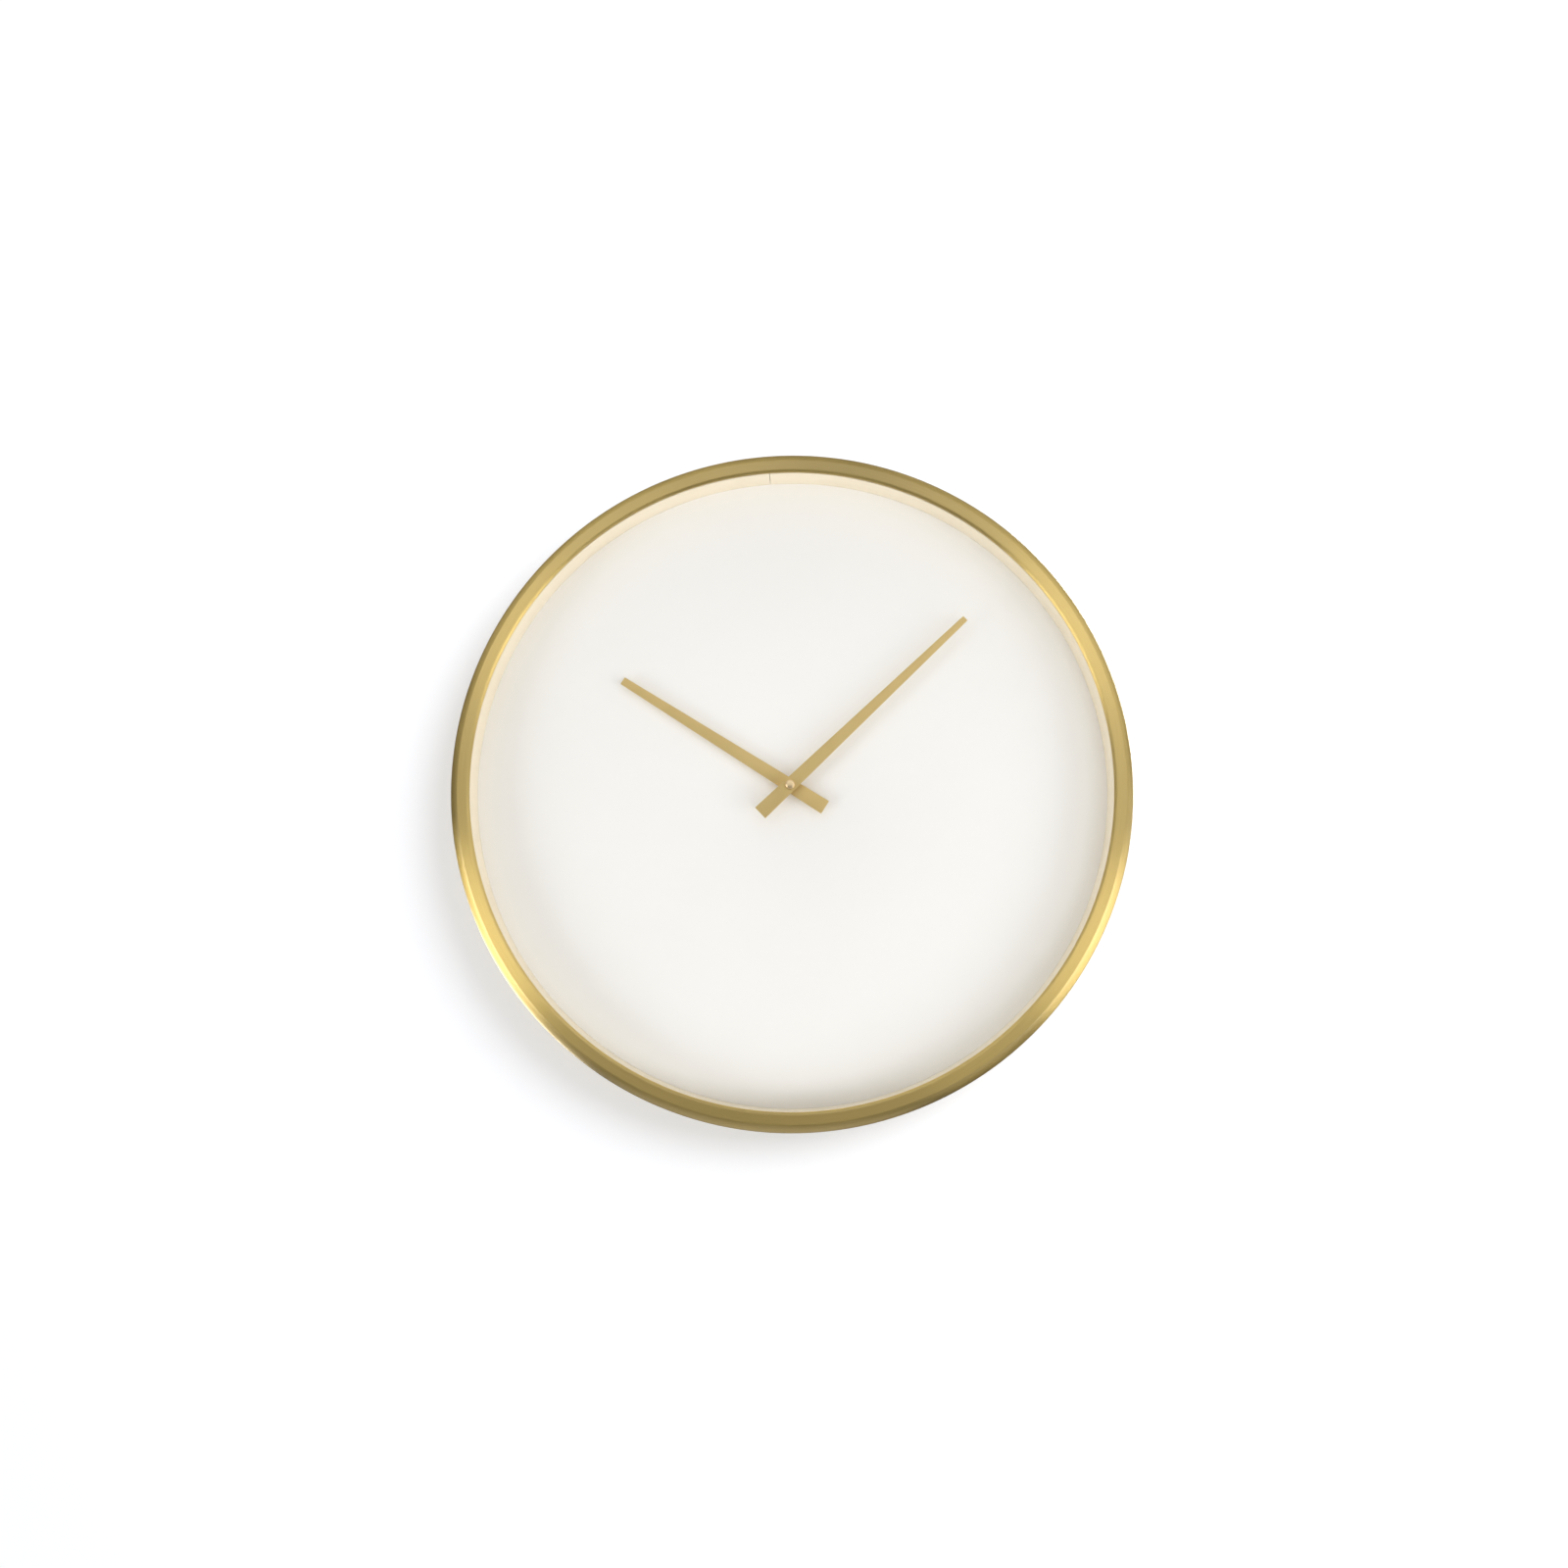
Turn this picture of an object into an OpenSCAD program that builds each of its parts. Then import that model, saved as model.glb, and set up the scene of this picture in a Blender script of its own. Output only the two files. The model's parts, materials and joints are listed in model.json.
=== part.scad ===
// Round wall clock with a spun brass-finished case, a blank dial under flat glass,
// two baton hands and a battery quartz movement.
// X points right and Z up, seen from the front. The front faces -Y, and the plane Y = 0
// is the wall. The origin is on the hand axis, in the plane of the wall.
// Inside the modules a part is drawn face up: local x right, local y up, and local z is
// the depth in front of the wall. upright() stands it up.

/* [Case] */
// Outer diameter of the case
case_d = 500; // [480:10:620]
// Depth of the case from the wall to the front face
case_depth = 50; // [50:1:60]
// Thickness of the rim's sheet metal
rim_t = 1.5; // [1.4:0.1:1.6]
// Radial width of the whole front ring, from the outer edge to the inner lip
ring_w = 15.5; // [14:0.5:17]
// Radial width of the rounded shoulder outside the flat front face
shoulder_w = 6.8; // [5:0.2:8]
// Depth over which the shoulder runs back to the side
shoulder_depth = 10; // [8:0.5:12]
// Radius of the rolled inner lip
lip_r = 2.2; // [1.6:0.1:2.2]

/* [Dial and glass] */
// Depth of the dial surface in front of the wall
dial_depth = 22.5; // [22.5:0.5:24]
// Thickness of the dial sheet
dial_t = 0.8; // [0.5:0.1:1]
// Thickness of the board behind the dial
board_t = 6; // [6:0.5:7]
// Thickness of the glass
glass_t = 2.5; // [2:0.1:3]
// Thickness of the gasket in front of the glass
gasket_t = 1.2; // [1:0.1:1.5]
// Thickness of the cream liner strip between the dial and the glass
strip_t = 2.5; // [1.5:0.1:3]
// Number of retaining clips behind the board
clip_count = 6; // [6]

/* [Hands] */
// Reach of the minute hand from the hand axis to its tip
minute_reach = 181; // [150:1:200]
// Reach of the hour hand from the hand axis to its tip
hour_reach = 149.5; // [110:0.5:170]
// Length of both tails behind the hand axis
tail_len = 30.5; // [20:0.5:40]
// Width of both tails at their square ends
tail_w = 11; // [9:0.2:12]
// Width of the minute hand at its tip
minute_tip_w = 4.6; // [3:0.2:7]
// Width of the hour hand at its tip
hour_tip_w = 6; // [4:0.2:8]
// Thickness of both hands
hand_t = 0.6; // [0.4:0.1:0.8]
// Minute hand's angle, clockwise from twelve
minute_angle = 46.4; // [0:0.1:360]
// Hour hand's angle, clockwise from twelve
hour_angle = 302.4; // [0:0.1:360]
// Diameter of the closed nut on the minute hand
cap_d = 6.8; // [6:0.2:8]

/* [Hanger] */
// Height of the keyhole's round end above the hand axis
keyhole_z = 198; // [150:1:200]
// Diameter of the keyhole's round end, which takes the screw head
keyhole_d = 9; // [8:0.5:10]
// Width of the keyhole's slot, which takes the screw shank
keyhole_slot = 4.5; // [4.2:0.1:5]

/* [Movement] */
// Side of the square movement housing
housing_w = 56; // [56]
// Teeth on the rotor pinion
rotor_teeth = 6; // [6]
// Module of the motion work gears behind the dial
motion_module = 0.4; // [0.4]

/* [Hidden] */
$fn = 120;

brass = "#c9ad74";
cream = "#f2e6c8";
white = "#f5f3ee";
steel = "#b9bcc0";
black = "#1c1c1e";
mdf = "#a98a63";

// Case
rim_r = case_d / 2;
lip_inner_r = rim_r - ring_w;
shoulder_r = (shoulder_w * shoulder_w + shoulder_depth * shoulder_depth) / (2 * shoulder_w);
shoulder_c = [rim_r - shoulder_r, case_depth - shoulder_depth];
crease_a = asin(shoulder_depth / shoulder_r);
inner_r = rim_r - rim_t;
face_back = case_depth - rim_t;
hem_inner_r = rim_r - 3.2;
hem_edge_r = 0.8;

// Stack behind the rim's face, from the front to the back
glass_front = face_back - gasket_t;
lip_end = glass_front + 0.1;
glass_back = glass_front - glass_t;
glass_r = rim_r - 8;
strip_inner_r = lip_inner_r + 0.5;
strip_gap = 0.4;
strip_gap_a = 3.7;
dial_back = dial_depth - dial_t;
dial_r = strip_inner_r + strip_t + 0.5;
board_back = dial_back - board_t;
board_r = hem_inner_r - 0.8;

// Clips and hanger
clip_t = 1.2;
clip_w = 16;
clip_foot = 18;
clip_r = board_r + 1;
clip_screw_r = board_r - 10;
screw_shank_r = 1.5;
screw_head_r = 3;
screw_head_h = 1.6;
screw_bite = 5.2;
hanger_t = 1.5;
hanger_rise = 7.5;
hanger_h = 24;
hanger_half_w = 22;
hanger_foot = 14;
keyhole_rise = 9;

// Hand stack, as depths in front of the wall
washer_t = 0.5;
nut_t = 2;
nut_flat = 10;
bush_r = 3.9;
bush_bore_r = 2.6;
bush_end = dial_depth + 3.1;
hour_tube_r = 2.5;
hour_plate = dial_depth + 5.6;
hour_tube_end = hour_plate + hand_t + 0.3;
minute_tube_r = 1.75;
minute_plate = dial_depth + 11.9;
minute_tube_end = minute_plate + hand_t + 1.2;
cap_h = 2.5;
second_shaft_r = 0.5;
clutch_r = 1.5;
setting_r = 1.2;

// Movement housing, as depths in front of the wall
housing_front = board_back + 2.2;
housing_back = 2.6;
housing_wall = 1.2;
housing_low = -29;
housing_corner = 3;
pocket_floor = board_back + 3;
pocket_w = housing_w + 6;
front_inner = housing_front - housing_wall;
cover_inner = housing_back + housing_wall;
bay_top = -12.2;
bay_wall = 1;
gear_low = bay_top + bay_wall;
half_in = housing_w / 2 - housing_wall;
top_in = housing_w + housing_low - housing_wall;
plate_front = 13.4;
plate_back = 12.6;
post_x = 24;
post_high = 23.2;
post_low = -8.8;
post_r = 1.3;
pivot_r = 0.5;
pivot_hole_r = 0.6;
run_gap = 0.1;
pivot_sunk = 0.6;

// Gears: number of teeth
cannon_n = 10;
motion_wheel_n = 30;
motion_pinion_n = 8;
hour_n = 32;
setting_n = 12;
second_n = 40;
second_pinion_n = 8;
third_n = 60;
third_pinion_n = 8;
centre_n = 64;
fifth_n = 36;
fifth_pinion_n = 8;

// Gears: modules, so that both gears of a compound pair share one centre distance
third_module = 0.34;
centre_module = third_module * (second_pinion_n + third_n) / (third_pinion_n + centre_n);
second_module = 0.48;
rotor_module = 0.4;
motion_dist = motion_module * (cannon_n + motion_wheel_n) / 2;
setting_dist = motion_module * (motion_wheel_n + setting_n) / 2;
third_dist = third_module * (second_pinion_n + third_n) / 2;
fifth_dist = second_module * (fifth_pinion_n + second_n) / 2;
rotor_dist = rotor_module * (rotor_teeth + fifth_n) / 2;

// Gears: directions from one axis to the next, and the axes they give
motion_dir = 210;
setting_dir = 170;
third_dir = 50;
fifth_dir = 135;
rotor_dir = 120;
motion_at = polar(motion_dist, motion_dir);
setting_at = motion_at + polar(setting_dist, setting_dir);
third_at = polar(third_dist, third_dir);
fifth_at = polar(fifth_dist, fifth_dir);
rotor_at = fifth_at + polar(rotor_dist, rotor_dir);

// Gears: how far each is turned so that a tooth of one faces a gap of the other
motion_phase = mesh_phase(0, cannon_n, motion_wheel_n, motion_dir);
setting_phase = mesh_phase(motion_phase, motion_wheel_n, setting_n, setting_dir);
hour_phase = mesh_phase(0, motion_pinion_n, hour_n, motion_dir + 180);
third_phase = mesh_phase(0, second_pinion_n, third_n, third_dir);
centre_phase = mesh_phase(0, third_pinion_n, centre_n, third_dir + 180);
fifth_pinion_phase = mesh_phase(0, second_n, fifth_pinion_n, fifth_dir);
rotor_phase = mesh_phase(0, fifth_n, rotor_teeth, rotor_dir);

// Gears: layers, as [back, front] depths in front of the wall
hour_layer = [15.3, 16.5];
motion_layer = [13.8, 15];
centre_layer = [11.4, 12.2];
third_layer = [9.9, 10.7];
second_layer = [8.6, 9.4];
fifth_layer = [7.3, 8.1];
magnet_layer = [5.2, 7];
stator_layer = [5.7, 6.5];

// Motor, electronics and battery
magnet_r = 3.2;
coil_y = 22;
coil_left = -19;
coil_right = -3;
coil_r = 3;
bobbin_r = 2.3;
core_layer = [6.5, 7.3];
limb_w = 3.4;
board_layer = [5, 6];
battery_r = 7.15;
battery_half = 24.6;
battery_y = -20;
nub_h = 1.1;
battery_depth = 10;
contact_t = 0.4;

// A point at distance r in direction a.
function polar(r, a) = [r * cos(a), r * sin(a)];

// Points along an arc, from angle a0 to angle a1 in n steps.
function arc(c, r, a0, a1, n) = [for (i = [0:n]) c + polar(r, a0 + (a1 - a0) * i / n)];

// The turn of a gear with nb teeth that meshes, in direction dir, with one of na teeth turned by a.
function mesh_phase(a, na, nb, dir) = dir + 180 - 180 / nb + (dir - a) * na / nb;

// Outline of a gear with n slender teeth, the first one centred on local x.
function gear_points(n, m) = [
    for (i = [0:n - 1], k = [0:3])
        let (
            tip = k == 1 || k == 2,
            side = k < 2 ? -1 : 1,
            share = tip ? 0.09 : 0.25
        )
        polar(m * n / 2 + (tip ? 0.8 : -1.05) * m, (i + side * share) * 360 / n)
];

// Stands up a part that is drawn face up.
module upright() {
    rotate([90, 0, 0]) children();
}

// Extrudes an outline between two depths in front of the wall.
module layer(back, front) {
    translate([0, 0, back]) linear_extrude(front - back) children();
}

module gear(n, m, phase, span) {
    layer(span[0], span[1]) rotate(phase) polygon(gear_points(n, m));
}

module rod(r, back, front) {
    translate([0, 0, back]) cylinder(h = front - back, r = r);
}

module rounded_square(x0, y0, x1, y1, r) {
    translate([x0 + r, y0]) square([x1 - x0 - 2 * r, y1 - y0]);
    translate([x0, y0 + r]) square([x1 - x0, y1 - y0 - 2 * r]);
    for (x = [x0 + r, x1 - r], y = [y0 + r, y1 - r]) translate([x, y]) circle(r);
}

module disc(r, back, front, hole_r) {
    difference() {
        rod(r, back, front);
        rod(hole_r, back - 1, front + 1);
    }
}

// Pan-head screw whose head's underside is at depth seat; it bites forward from there.
module pan_screw(seat, head_r, bite) {
    rotate_extrude() polygon(concat(
        [[0, seat + bite], [0, seat - screw_head_h]],
        arc([head_r - 1, seat - screw_head_h + 1], 1, -90, 0, 5),
        [[head_r, seat], [screw_shank_r, seat], [screw_shank_r, seat + bite - 1.4]]
    ));
}

// --- Case ---------------------------------------------------------------------------

module rim() {
    color(brass) upright() rotate_extrude() polygon(concat(
        [[lip_inner_r, lip_end]],
        arc([lip_inner_r + lip_r, case_depth - lip_r], lip_r, 180, 90, 6),
        arc(shoulder_c, shoulder_r, crease_a, 0, 10),
        arc([rim_r - hem_edge_r, hem_edge_r], hem_edge_r, 0, -90, 4),
        [[hem_inner_r, 0], [hem_inner_r, rim_t], [inner_r, rim_t]],
        arc(shoulder_c, shoulder_r - rim_t, 0,
            asin((face_back - shoulder_c[1]) / (shoulder_r - rim_t)), 10),
        [[lip_inner_r + rim_t, face_back], [lip_inner_r + rim_t, lip_end]]
    ));
}

module gasket() {
    color(black) upright() disc(glass_r, glass_front, face_back, glass_r - 3.5);
}

module glass() {
    color("#dfe8e6", 0.3) upright() rod(glass_r, glass_back, glass_front);
}

// The strip is bent round into a hoop, and its ends meet near the top.
module spacer_strip() {
    color(cream) upright() difference() {
        disc(strip_inner_r + strip_t, dial_depth, glass_back, strip_inner_r);
        rotate(strip_gap_a) translate([-strip_gap / 2, strip_inner_r - 1, dial_depth - 1])
            cube([strip_gap, strip_t + 2, case_depth]);
    }
}

module dial() {
    color(white) upright() disc(dial_r, dial_back, dial_depth, bush_r + 0.3);
}

module dial_board() {
    color(mdf) upright() difference() {
        rod(board_r, board_back, dial_back);
        rod(bush_r + 0.3, board_back - 1, dial_back + 1);
        layer(board_back - 1, pocket_floor)
            rounded_square(-pocket_w / 2, housing_low - 3, pocket_w / 2,
                housing_low + housing_w + 3, housing_corner);
        for (i = [1:clip_count])
            rotate(clip_angle(i)) translate([0, clip_screw_r, 0])
                rod(screw_shank_r, board_back - 1, board_back + 4.2);
        for (x = [-1, 1])
            translate([x * (hanger_half_w + hanger_foot / 2), keyhole_z + 4, 0])
                rod(screw_shank_r, board_back - 1, board_back + 4.2);
    }
}

// Clips sit every sixth of a turn, half a step away from the hanger at the top.
function clip_angle(i) = 360 * (i - 0.5) / clip_count;

// The foot is screwed to the board, and the riser's end bears on the rim's rear hem.
module clip(i) {
    color(steel) upright() rotate(clip_angle(i)) difference() {
        union() {
            translate([-clip_w / 2, clip_r + clip_t - clip_foot, board_back - clip_t])
                cube([clip_w, clip_foot, clip_t]);
            translate([-clip_w / 2, clip_r, rim_t + 0.05])
                cube([clip_w, clip_t, board_back - rim_t - 0.05]);
        }
        translate([0, clip_screw_r, 0]) rod(screw_shank_r + 0.2, 0, board_back + 1);
    }
}

module clip_screws() {
    color(steel) upright() for (i = [1:clip_count])
        rotate(clip_angle(i)) translate([0, clip_screw_r, 0])
            pan_screw(board_back - clip_t, screw_head_r, screw_bite);
}

// A hat-shaped strip: two feet on the board and a raised plate with the keyhole.
module hanger_bracket() {
    plate_back_depth = board_back - hanger_rise;
    color(steel) upright() translate([0, keyhole_z + 4, 0]) difference() {
        union() {
            translate([-hanger_half_w, -hanger_h / 2, plate_back_depth])
                cube([2 * hanger_half_w, hanger_h, hanger_t]);
            for (x = [-hanger_half_w, hanger_half_w - hanger_t])
                translate([x, -hanger_h / 2, plate_back_depth])
                    cube([hanger_t, hanger_h, hanger_rise]);
            for (x = [-hanger_half_w - hanger_foot, hanger_half_w])
                translate([x, -hanger_h / 2, board_back - hanger_t])
                    cube([hanger_foot, hanger_h, hanger_t]);
        }
        translate([0, -4, 0]) rod(keyhole_d / 2, 0, board_back - hanger_t);
        translate([0, keyhole_rise - 4, 0]) rod(keyhole_slot / 2, 0, board_back - hanger_t);
        translate([-keyhole_slot / 2, -4, 0])
            cube([keyhole_slot, keyhole_rise, board_back - hanger_t]);
        for (x = [-1, 1])
            translate([x * (hanger_half_w + hanger_foot / 2), 0, 0])
                rod(screw_shank_r + 0.2, 0, board_back + 1);
    }
}

module hanger_screws() {
    color(steel) upright() for (x = [-1, 1])
        translate([x * (hanger_half_w + hanger_foot / 2), keyhole_z + 4, 0])
            pan_screw(board_back - hanger_t, screw_head_r, screw_bite);
}

// --- Hands --------------------------------------------------------------------------

// A flat baton that tapers evenly from a square tail to a square tip.
module hand(reach, tip_w, angle, back, hole_r) {
    rotate(-angle) difference() {
        layer(back, back + hand_t) polygon([
            [-tail_w / 2, -tail_len], [tail_w / 2, -tail_len],
            [tip_w / 2, reach], [-tip_w / 2, reach]
        ]);
        rod(hole_r, back - 1, back + hand_t + 1);
    }
}

module hour_hand() {
    color(brass) upright()
        hand(hour_reach, hour_tip_w, hour_angle, hour_plate, hour_tube_r + 0.3);
}

// A collet is riveted into its hand and pressed on its tube.
module hour_collet() {
    color(brass) upright() {
        disc(hour_tube_r + 0.3, hour_plate, hour_plate + hand_t, hour_tube_r);
        disc(hour_tube_r + 1, hour_plate - 1.8, hour_plate, hour_tube_r);
    }
}

module minute_hand() {
    color(brass) upright()
        hand(minute_reach, minute_tip_w, minute_angle, minute_plate, minute_tube_r + 0.3);
}

module minute_collet() {
    color(brass) upright() {
        disc(minute_tube_r + 0.3, minute_plate, minute_plate + hand_t, minute_tube_r);
        disc(minute_tube_r + 1, minute_plate - 1.6, minute_plate, minute_tube_r);
    }
}

// A closed domed nut that clamps the minute hand and covers the end of the second shaft.
module hand_cap() {
    base = minute_plate + hand_t;
    color("#e0c48c") upright() difference() {
        rotate_extrude() polygon(concat(
            [[0, base], [cap_d / 2, base]],
            arc([cap_d / 2 - 1, base + cap_h - 1], 1, 0, 90, 6),
            [[0, base + cap_h]]
        ));
        rod(minute_tube_r, base - 1, base + cap_h - 0.6);
    }
}

module nut_washer() {
    color(brass) upright() disc(bush_r + 1.4, dial_depth, dial_depth + washer_t, bush_r);
}

module fixing_nut() {
    color(brass) upright() difference() {
        layer(dial_depth + washer_t, dial_depth + washer_t + nut_t)
            circle(nut_flat / sqrt(3), $fn = 6);
        rod(bush_r, dial_depth, dial_depth + 5);
    }
}

module rubber_washer() {
    color(black) upright() disc(12, housing_front, pocket_floor, bush_r);
}

// --- Movement: housing --------------------------------------------------------------

module at(p) {
    translate([p[0], p[1], 0]) children();
}

module movement_housing() {
    color(black) upright() {
        difference() {
            layer(housing_back, housing_front)
                rounded_square(-housing_w / 2, housing_low, housing_w / 2,
                    housing_low + housing_w, housing_corner);
            layer(housing_back - 1, front_inner)
                rounded_square(-half_in, gear_low, half_in, top_in, 1);
            layer(housing_back - 1, battery_depth + battery_r + 0.15)
                rounded_square(-half_in, housing_low + housing_wall, half_in, bay_top, 1);
            rod(bush_r, front_inner - 1, housing_front + 1);
            at(motion_at) rod(pivot_hole_r, front_inner - 1, front_inner + pivot_sunk + 0.1);
            at(setting_at) rod(pivot_hole_r, front_inner - 1, front_inner + pivot_sunk + 0.1);
            // Slots for the contacts' legs, from the battery bay to the circuit.
            translate([half_in - 1.2, gear_low - bay_wall - 1, housing_back - 1])
                cube([1.2, bay_wall + 2, 8]);
            translate([-half_in, gear_low - bay_wall - 1, housing_back - 1])
                cube([1.2, bay_wall + 2, 8]);
        }
        for (x = [-post_x, post_x], y = [post_low, post_high])
            translate([x, y, 0]) rod(post_r, plate_front, front_inner);
    }
}

// The bush has a collar against the inside of the housing's front wall.
module threaded_bush() {
    color(brass) upright() disc(bush_r, front_inner, bush_end, bush_bore_r);
}

module rear_cover() {
    color(black) upright() {
        difference() {
            union() {
                layer(housing_back, cover_inner)
                    rounded_square(-half_in + 0.1, gear_low + 0.1, half_in - 0.1, top_in - 0.1, 0.9);
                rod(1.3, cover_inner, 7.9);
                at(third_at) rod(1.1, cover_inner, 9.2);
                at(fifth_at) rod(1.2, cover_inner, 6.7);
                at(rotor_at) rod(1.2, cover_inner, 4.6);
            }
            rod(pivot_hole_r, 5.6, 8.9);
            at(third_at) rod(pivot_hole_r, 7, 10);
            at(fifth_at) rod(pivot_hole_r, 4.5, 8);
            at(rotor_at) rod(pivot_hole_r, 3.4, 8);
            at(setting_at) rod(setting_r + run_gap, 0, 8);
        }
        for (x = [-post_x, post_x], y = [post_low, post_high])
            translate([x, y, 0]) rod(post_r, cover_inner, plate_back);
    }
}

module middle_plate() {
    color("#d8d4c8") upright() difference() {
        layer(plate_back, plate_front)
            rounded_square(-half_in + 0.2, gear_low + 0.2, half_in - 0.2, top_in - 0.2, 1);
        rod(clutch_r + run_gap, 0, housing_front);
        at(motion_at) rod(pivot_hole_r, 0, housing_front);
        at(setting_at) rod(setting_r + run_gap, 0, housing_front);
        at(third_at) rod(pivot_hole_r, 0, housing_front);
        at(fifth_at) rod(pivot_hole_r, 0, housing_front);
        at(rotor_at) rod(pivot_hole_r, 0, housing_front);
    }
}

// --- Movement: motion work ----------------------------------------------------------

// The cannon pinion and the long tube that carries the minute hand.
module minute_tube() {
    color(brass) upright() difference() {
        union() {
            gear(cannon_n, motion_module, 0, motion_layer);
            rod(minute_tube_r, motion_layer[1], minute_tube_end);
            rod(clutch_r, centre_layer[0] - 0.1, motion_layer[0]);
        }
        rod(second_shaft_r + run_gap, 0, case_depth);
    }
}

module hour_wheel() {
    color("#e8e2d0") upright() difference() {
        union() {
            gear(hour_n, motion_module, hour_phase, hour_layer);
            rod(hour_tube_r, hour_layer[1], hour_tube_end);
        }
        rod(minute_tube_r + run_gap, 0, case_depth);
    }
}

module minute_wheel() {
    color("#e8e2d0") upright() at(motion_at) {
        gear(motion_wheel_n, motion_module, motion_phase, motion_layer);
        gear(motion_pinion_n, motion_module, 0, [motion_layer[1], hour_layer[1]]);
        rod(pivot_r, plate_back + 0.1, motion_layer[0]);
        rod(pivot_r, hour_layer[1], front_inner + pivot_sunk);
    }
}

// Its pinion turns the minute wheel, and with it both hands.
module setting_knob() {
    color(black) upright() at(setting_at) {
        gear(setting_n, motion_module, setting_phase, motion_layer);
        rod(pivot_r, motion_layer[1], front_inner + pivot_sunk);
        rod(setting_r, 2.3, motion_layer[0]);
        difference() {
            rod(5, 0.8, 2.3);
            for (a = [0:30:330]) rotate(a) translate([5.4, 0, 0]) rod(0.9, 0, 3);
        }
    }
}

// --- Movement: train ----------------------------------------------------------------

// Grips the rear of the minute tube and slips on it when the hands are set.
module centre_wheel() {
    color(brass) upright() difference() {
        gear(centre_n, centre_module, centre_phase, centre_layer);
        rod(clutch_r + 0.05, 0, case_depth);
    }
}

module second_wheel() {
    color("#e8e2d0") upright() {
        gear(second_n, second_module, 0, second_layer);
        gear(second_pinion_n, third_module, 0, [second_layer[1], third_layer[1] + 0.1]);
        rod(second_shaft_r, third_layer[1] + 0.1, minute_tube_end + 0.3);
        rod(second_shaft_r, 5.8, second_layer[0]);
    }
}

module third_wheel() {
    color("#e8e2d0") upright() at(third_at) {
        gear(third_n, third_module, third_phase, third_layer);
        gear(third_pinion_n, centre_module, 0, [third_layer[1], centre_layer[1]]);
        rod(pivot_r, centre_layer[1], plate_front - 0.1);
        rod(pivot_r, 7.2, third_layer[0]);
    }
}

module fifth_wheel() {
    color("#e8e2d0") upright() at(fifth_at) {
        gear(fifth_n, rotor_module, 0, fifth_layer);
        gear(fifth_pinion_n, second_module, fifth_pinion_phase, [fifth_layer[1], second_layer[1]]);
        rod(pivot_r, second_layer[1], plate_front - 0.1);
        rod(pivot_r, 4.7, fifth_layer[0]);
    }
}

module rotor_pinion() {
    color("#e8e2d0") upright() at(rotor_at) {
        gear(rotor_teeth, rotor_module, rotor_phase, [magnet_layer[1], fifth_layer[1] + 0.1]);
        rod(pivot_r, fifth_layer[1] + 0.1, plate_front - 0.1);
        rod(pivot_r, 3.6, magnet_layer[1]);
    }
}

module rotor_magnet() {
    color("#55565a") upright() at(rotor_at) disc(magnet_r, magnet_layer[0], magnet_layer[1], pivot_r);
}

// --- Movement: motor and electronics ------------------------------------------------

// Two limbs rise from the rotor's pole piece to the coil core.
module stator() {
    color("#8b8d90") upright() difference() {
        layer(stator_layer[0], stator_layer[1]) {
            translate([coil_left - limb_w, rotor_at[1] - 5])
                square([coil_right - coil_left + 2 * limb_w, 8]);
            for (x = [coil_left - limb_w, coil_right])
                translate([x, rotor_at[1]]) square([limb_w, coil_y + 2 - rotor_at[1]]);
        }
        at(rotor_at) rod(magnet_r + 0.4, 0, housing_front);
    }
}

module coil_core() {
    color("#8b8d90") upright() layer(core_layer[0], core_layer[1])
        translate([coil_left - limb_w, coil_y - 2])
            square([coil_right - coil_left + 2 * limb_w, 4]);
}

// A tube along local x, centred on the coil's core.
module along_coil(r, x0, x1) {
    translate([x0, coil_y, (core_layer[0] + core_layer[1]) / 2]) rotate([0, 90, 0])
        cylinder(h = x1 - x0, r = r);
}

module coil_slot() {
    layer(core_layer[0], core_layer[1])
        translate([coil_left - 1, coil_y - 2]) square([coil_right - coil_left + 2, 4]);
}

module coil_bobbin() {
    color("#f0ede4") upright() difference() {
        union() {
            along_coil(bobbin_r, coil_left, coil_right);
            along_coil(coil_r, coil_left, coil_left + 0.8);
            along_coil(coil_r, coil_right - 0.8, coil_right);
        }
        coil_slot();
    }
}

module coil_winding() {
    color("#b4683a") upright() difference() {
        along_coil(coil_r - 0.2, coil_left + 0.8, coil_right - 0.8);
        along_coil(bobbin_r, coil_left, coil_right);
    }
}

module circuit_board() {
    color("#2f6b45") upright() layer(board_layer[0], board_layer[1])
        translate([3, 11]) square([18.5, 14]);
}

module timing_chip() {
    color(black) upright() translate([9, 17.5, 0]) rod(2.6, board_layer[1], board_layer[1] + 1);
}

module quartz_crystal() {
    color(steel) upright() translate([15, 17, board_layer[1] + 1]) rotate([-90, 0, 0])
        cylinder(h = 6, r = 1);
}

module battery() {
    color("#3a3d42") upright() translate([0, battery_y, battery_depth]) rotate([0, 90, 0])
        rotate_extrude() polygon(concat(
            [[0, -battery_half]],
            arc([battery_r - 0.8, -battery_half + 0.8], 0.8, -90, 0, 4),
            arc([battery_r - 0.8, battery_half - 0.8], 0.8, 0, 90, 4),
            [[2.7, battery_half], [2.7, battery_half + nub_h], [0, battery_half + nub_h]]
        ));
}

// A plate in the bay's end with a coned spring; a leg runs up beside the battery.
module contact_negative() {
    color(steel) upright() {
        translate([-half_in, battery_y - 5, battery_depth - 5]) cube([contact_t, 10, 10]);
        translate([-half_in, battery_y, cover_inner + 0.4]) cube([contact_t, 32, 3]);
        translate([-half_in + contact_t, battery_y, battery_depth]) rotate([0, 90, 0])
            cylinder(h = half_in - battery_half - contact_t, r1 = 4.5, r2 = 2.8);
    }
}

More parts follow.
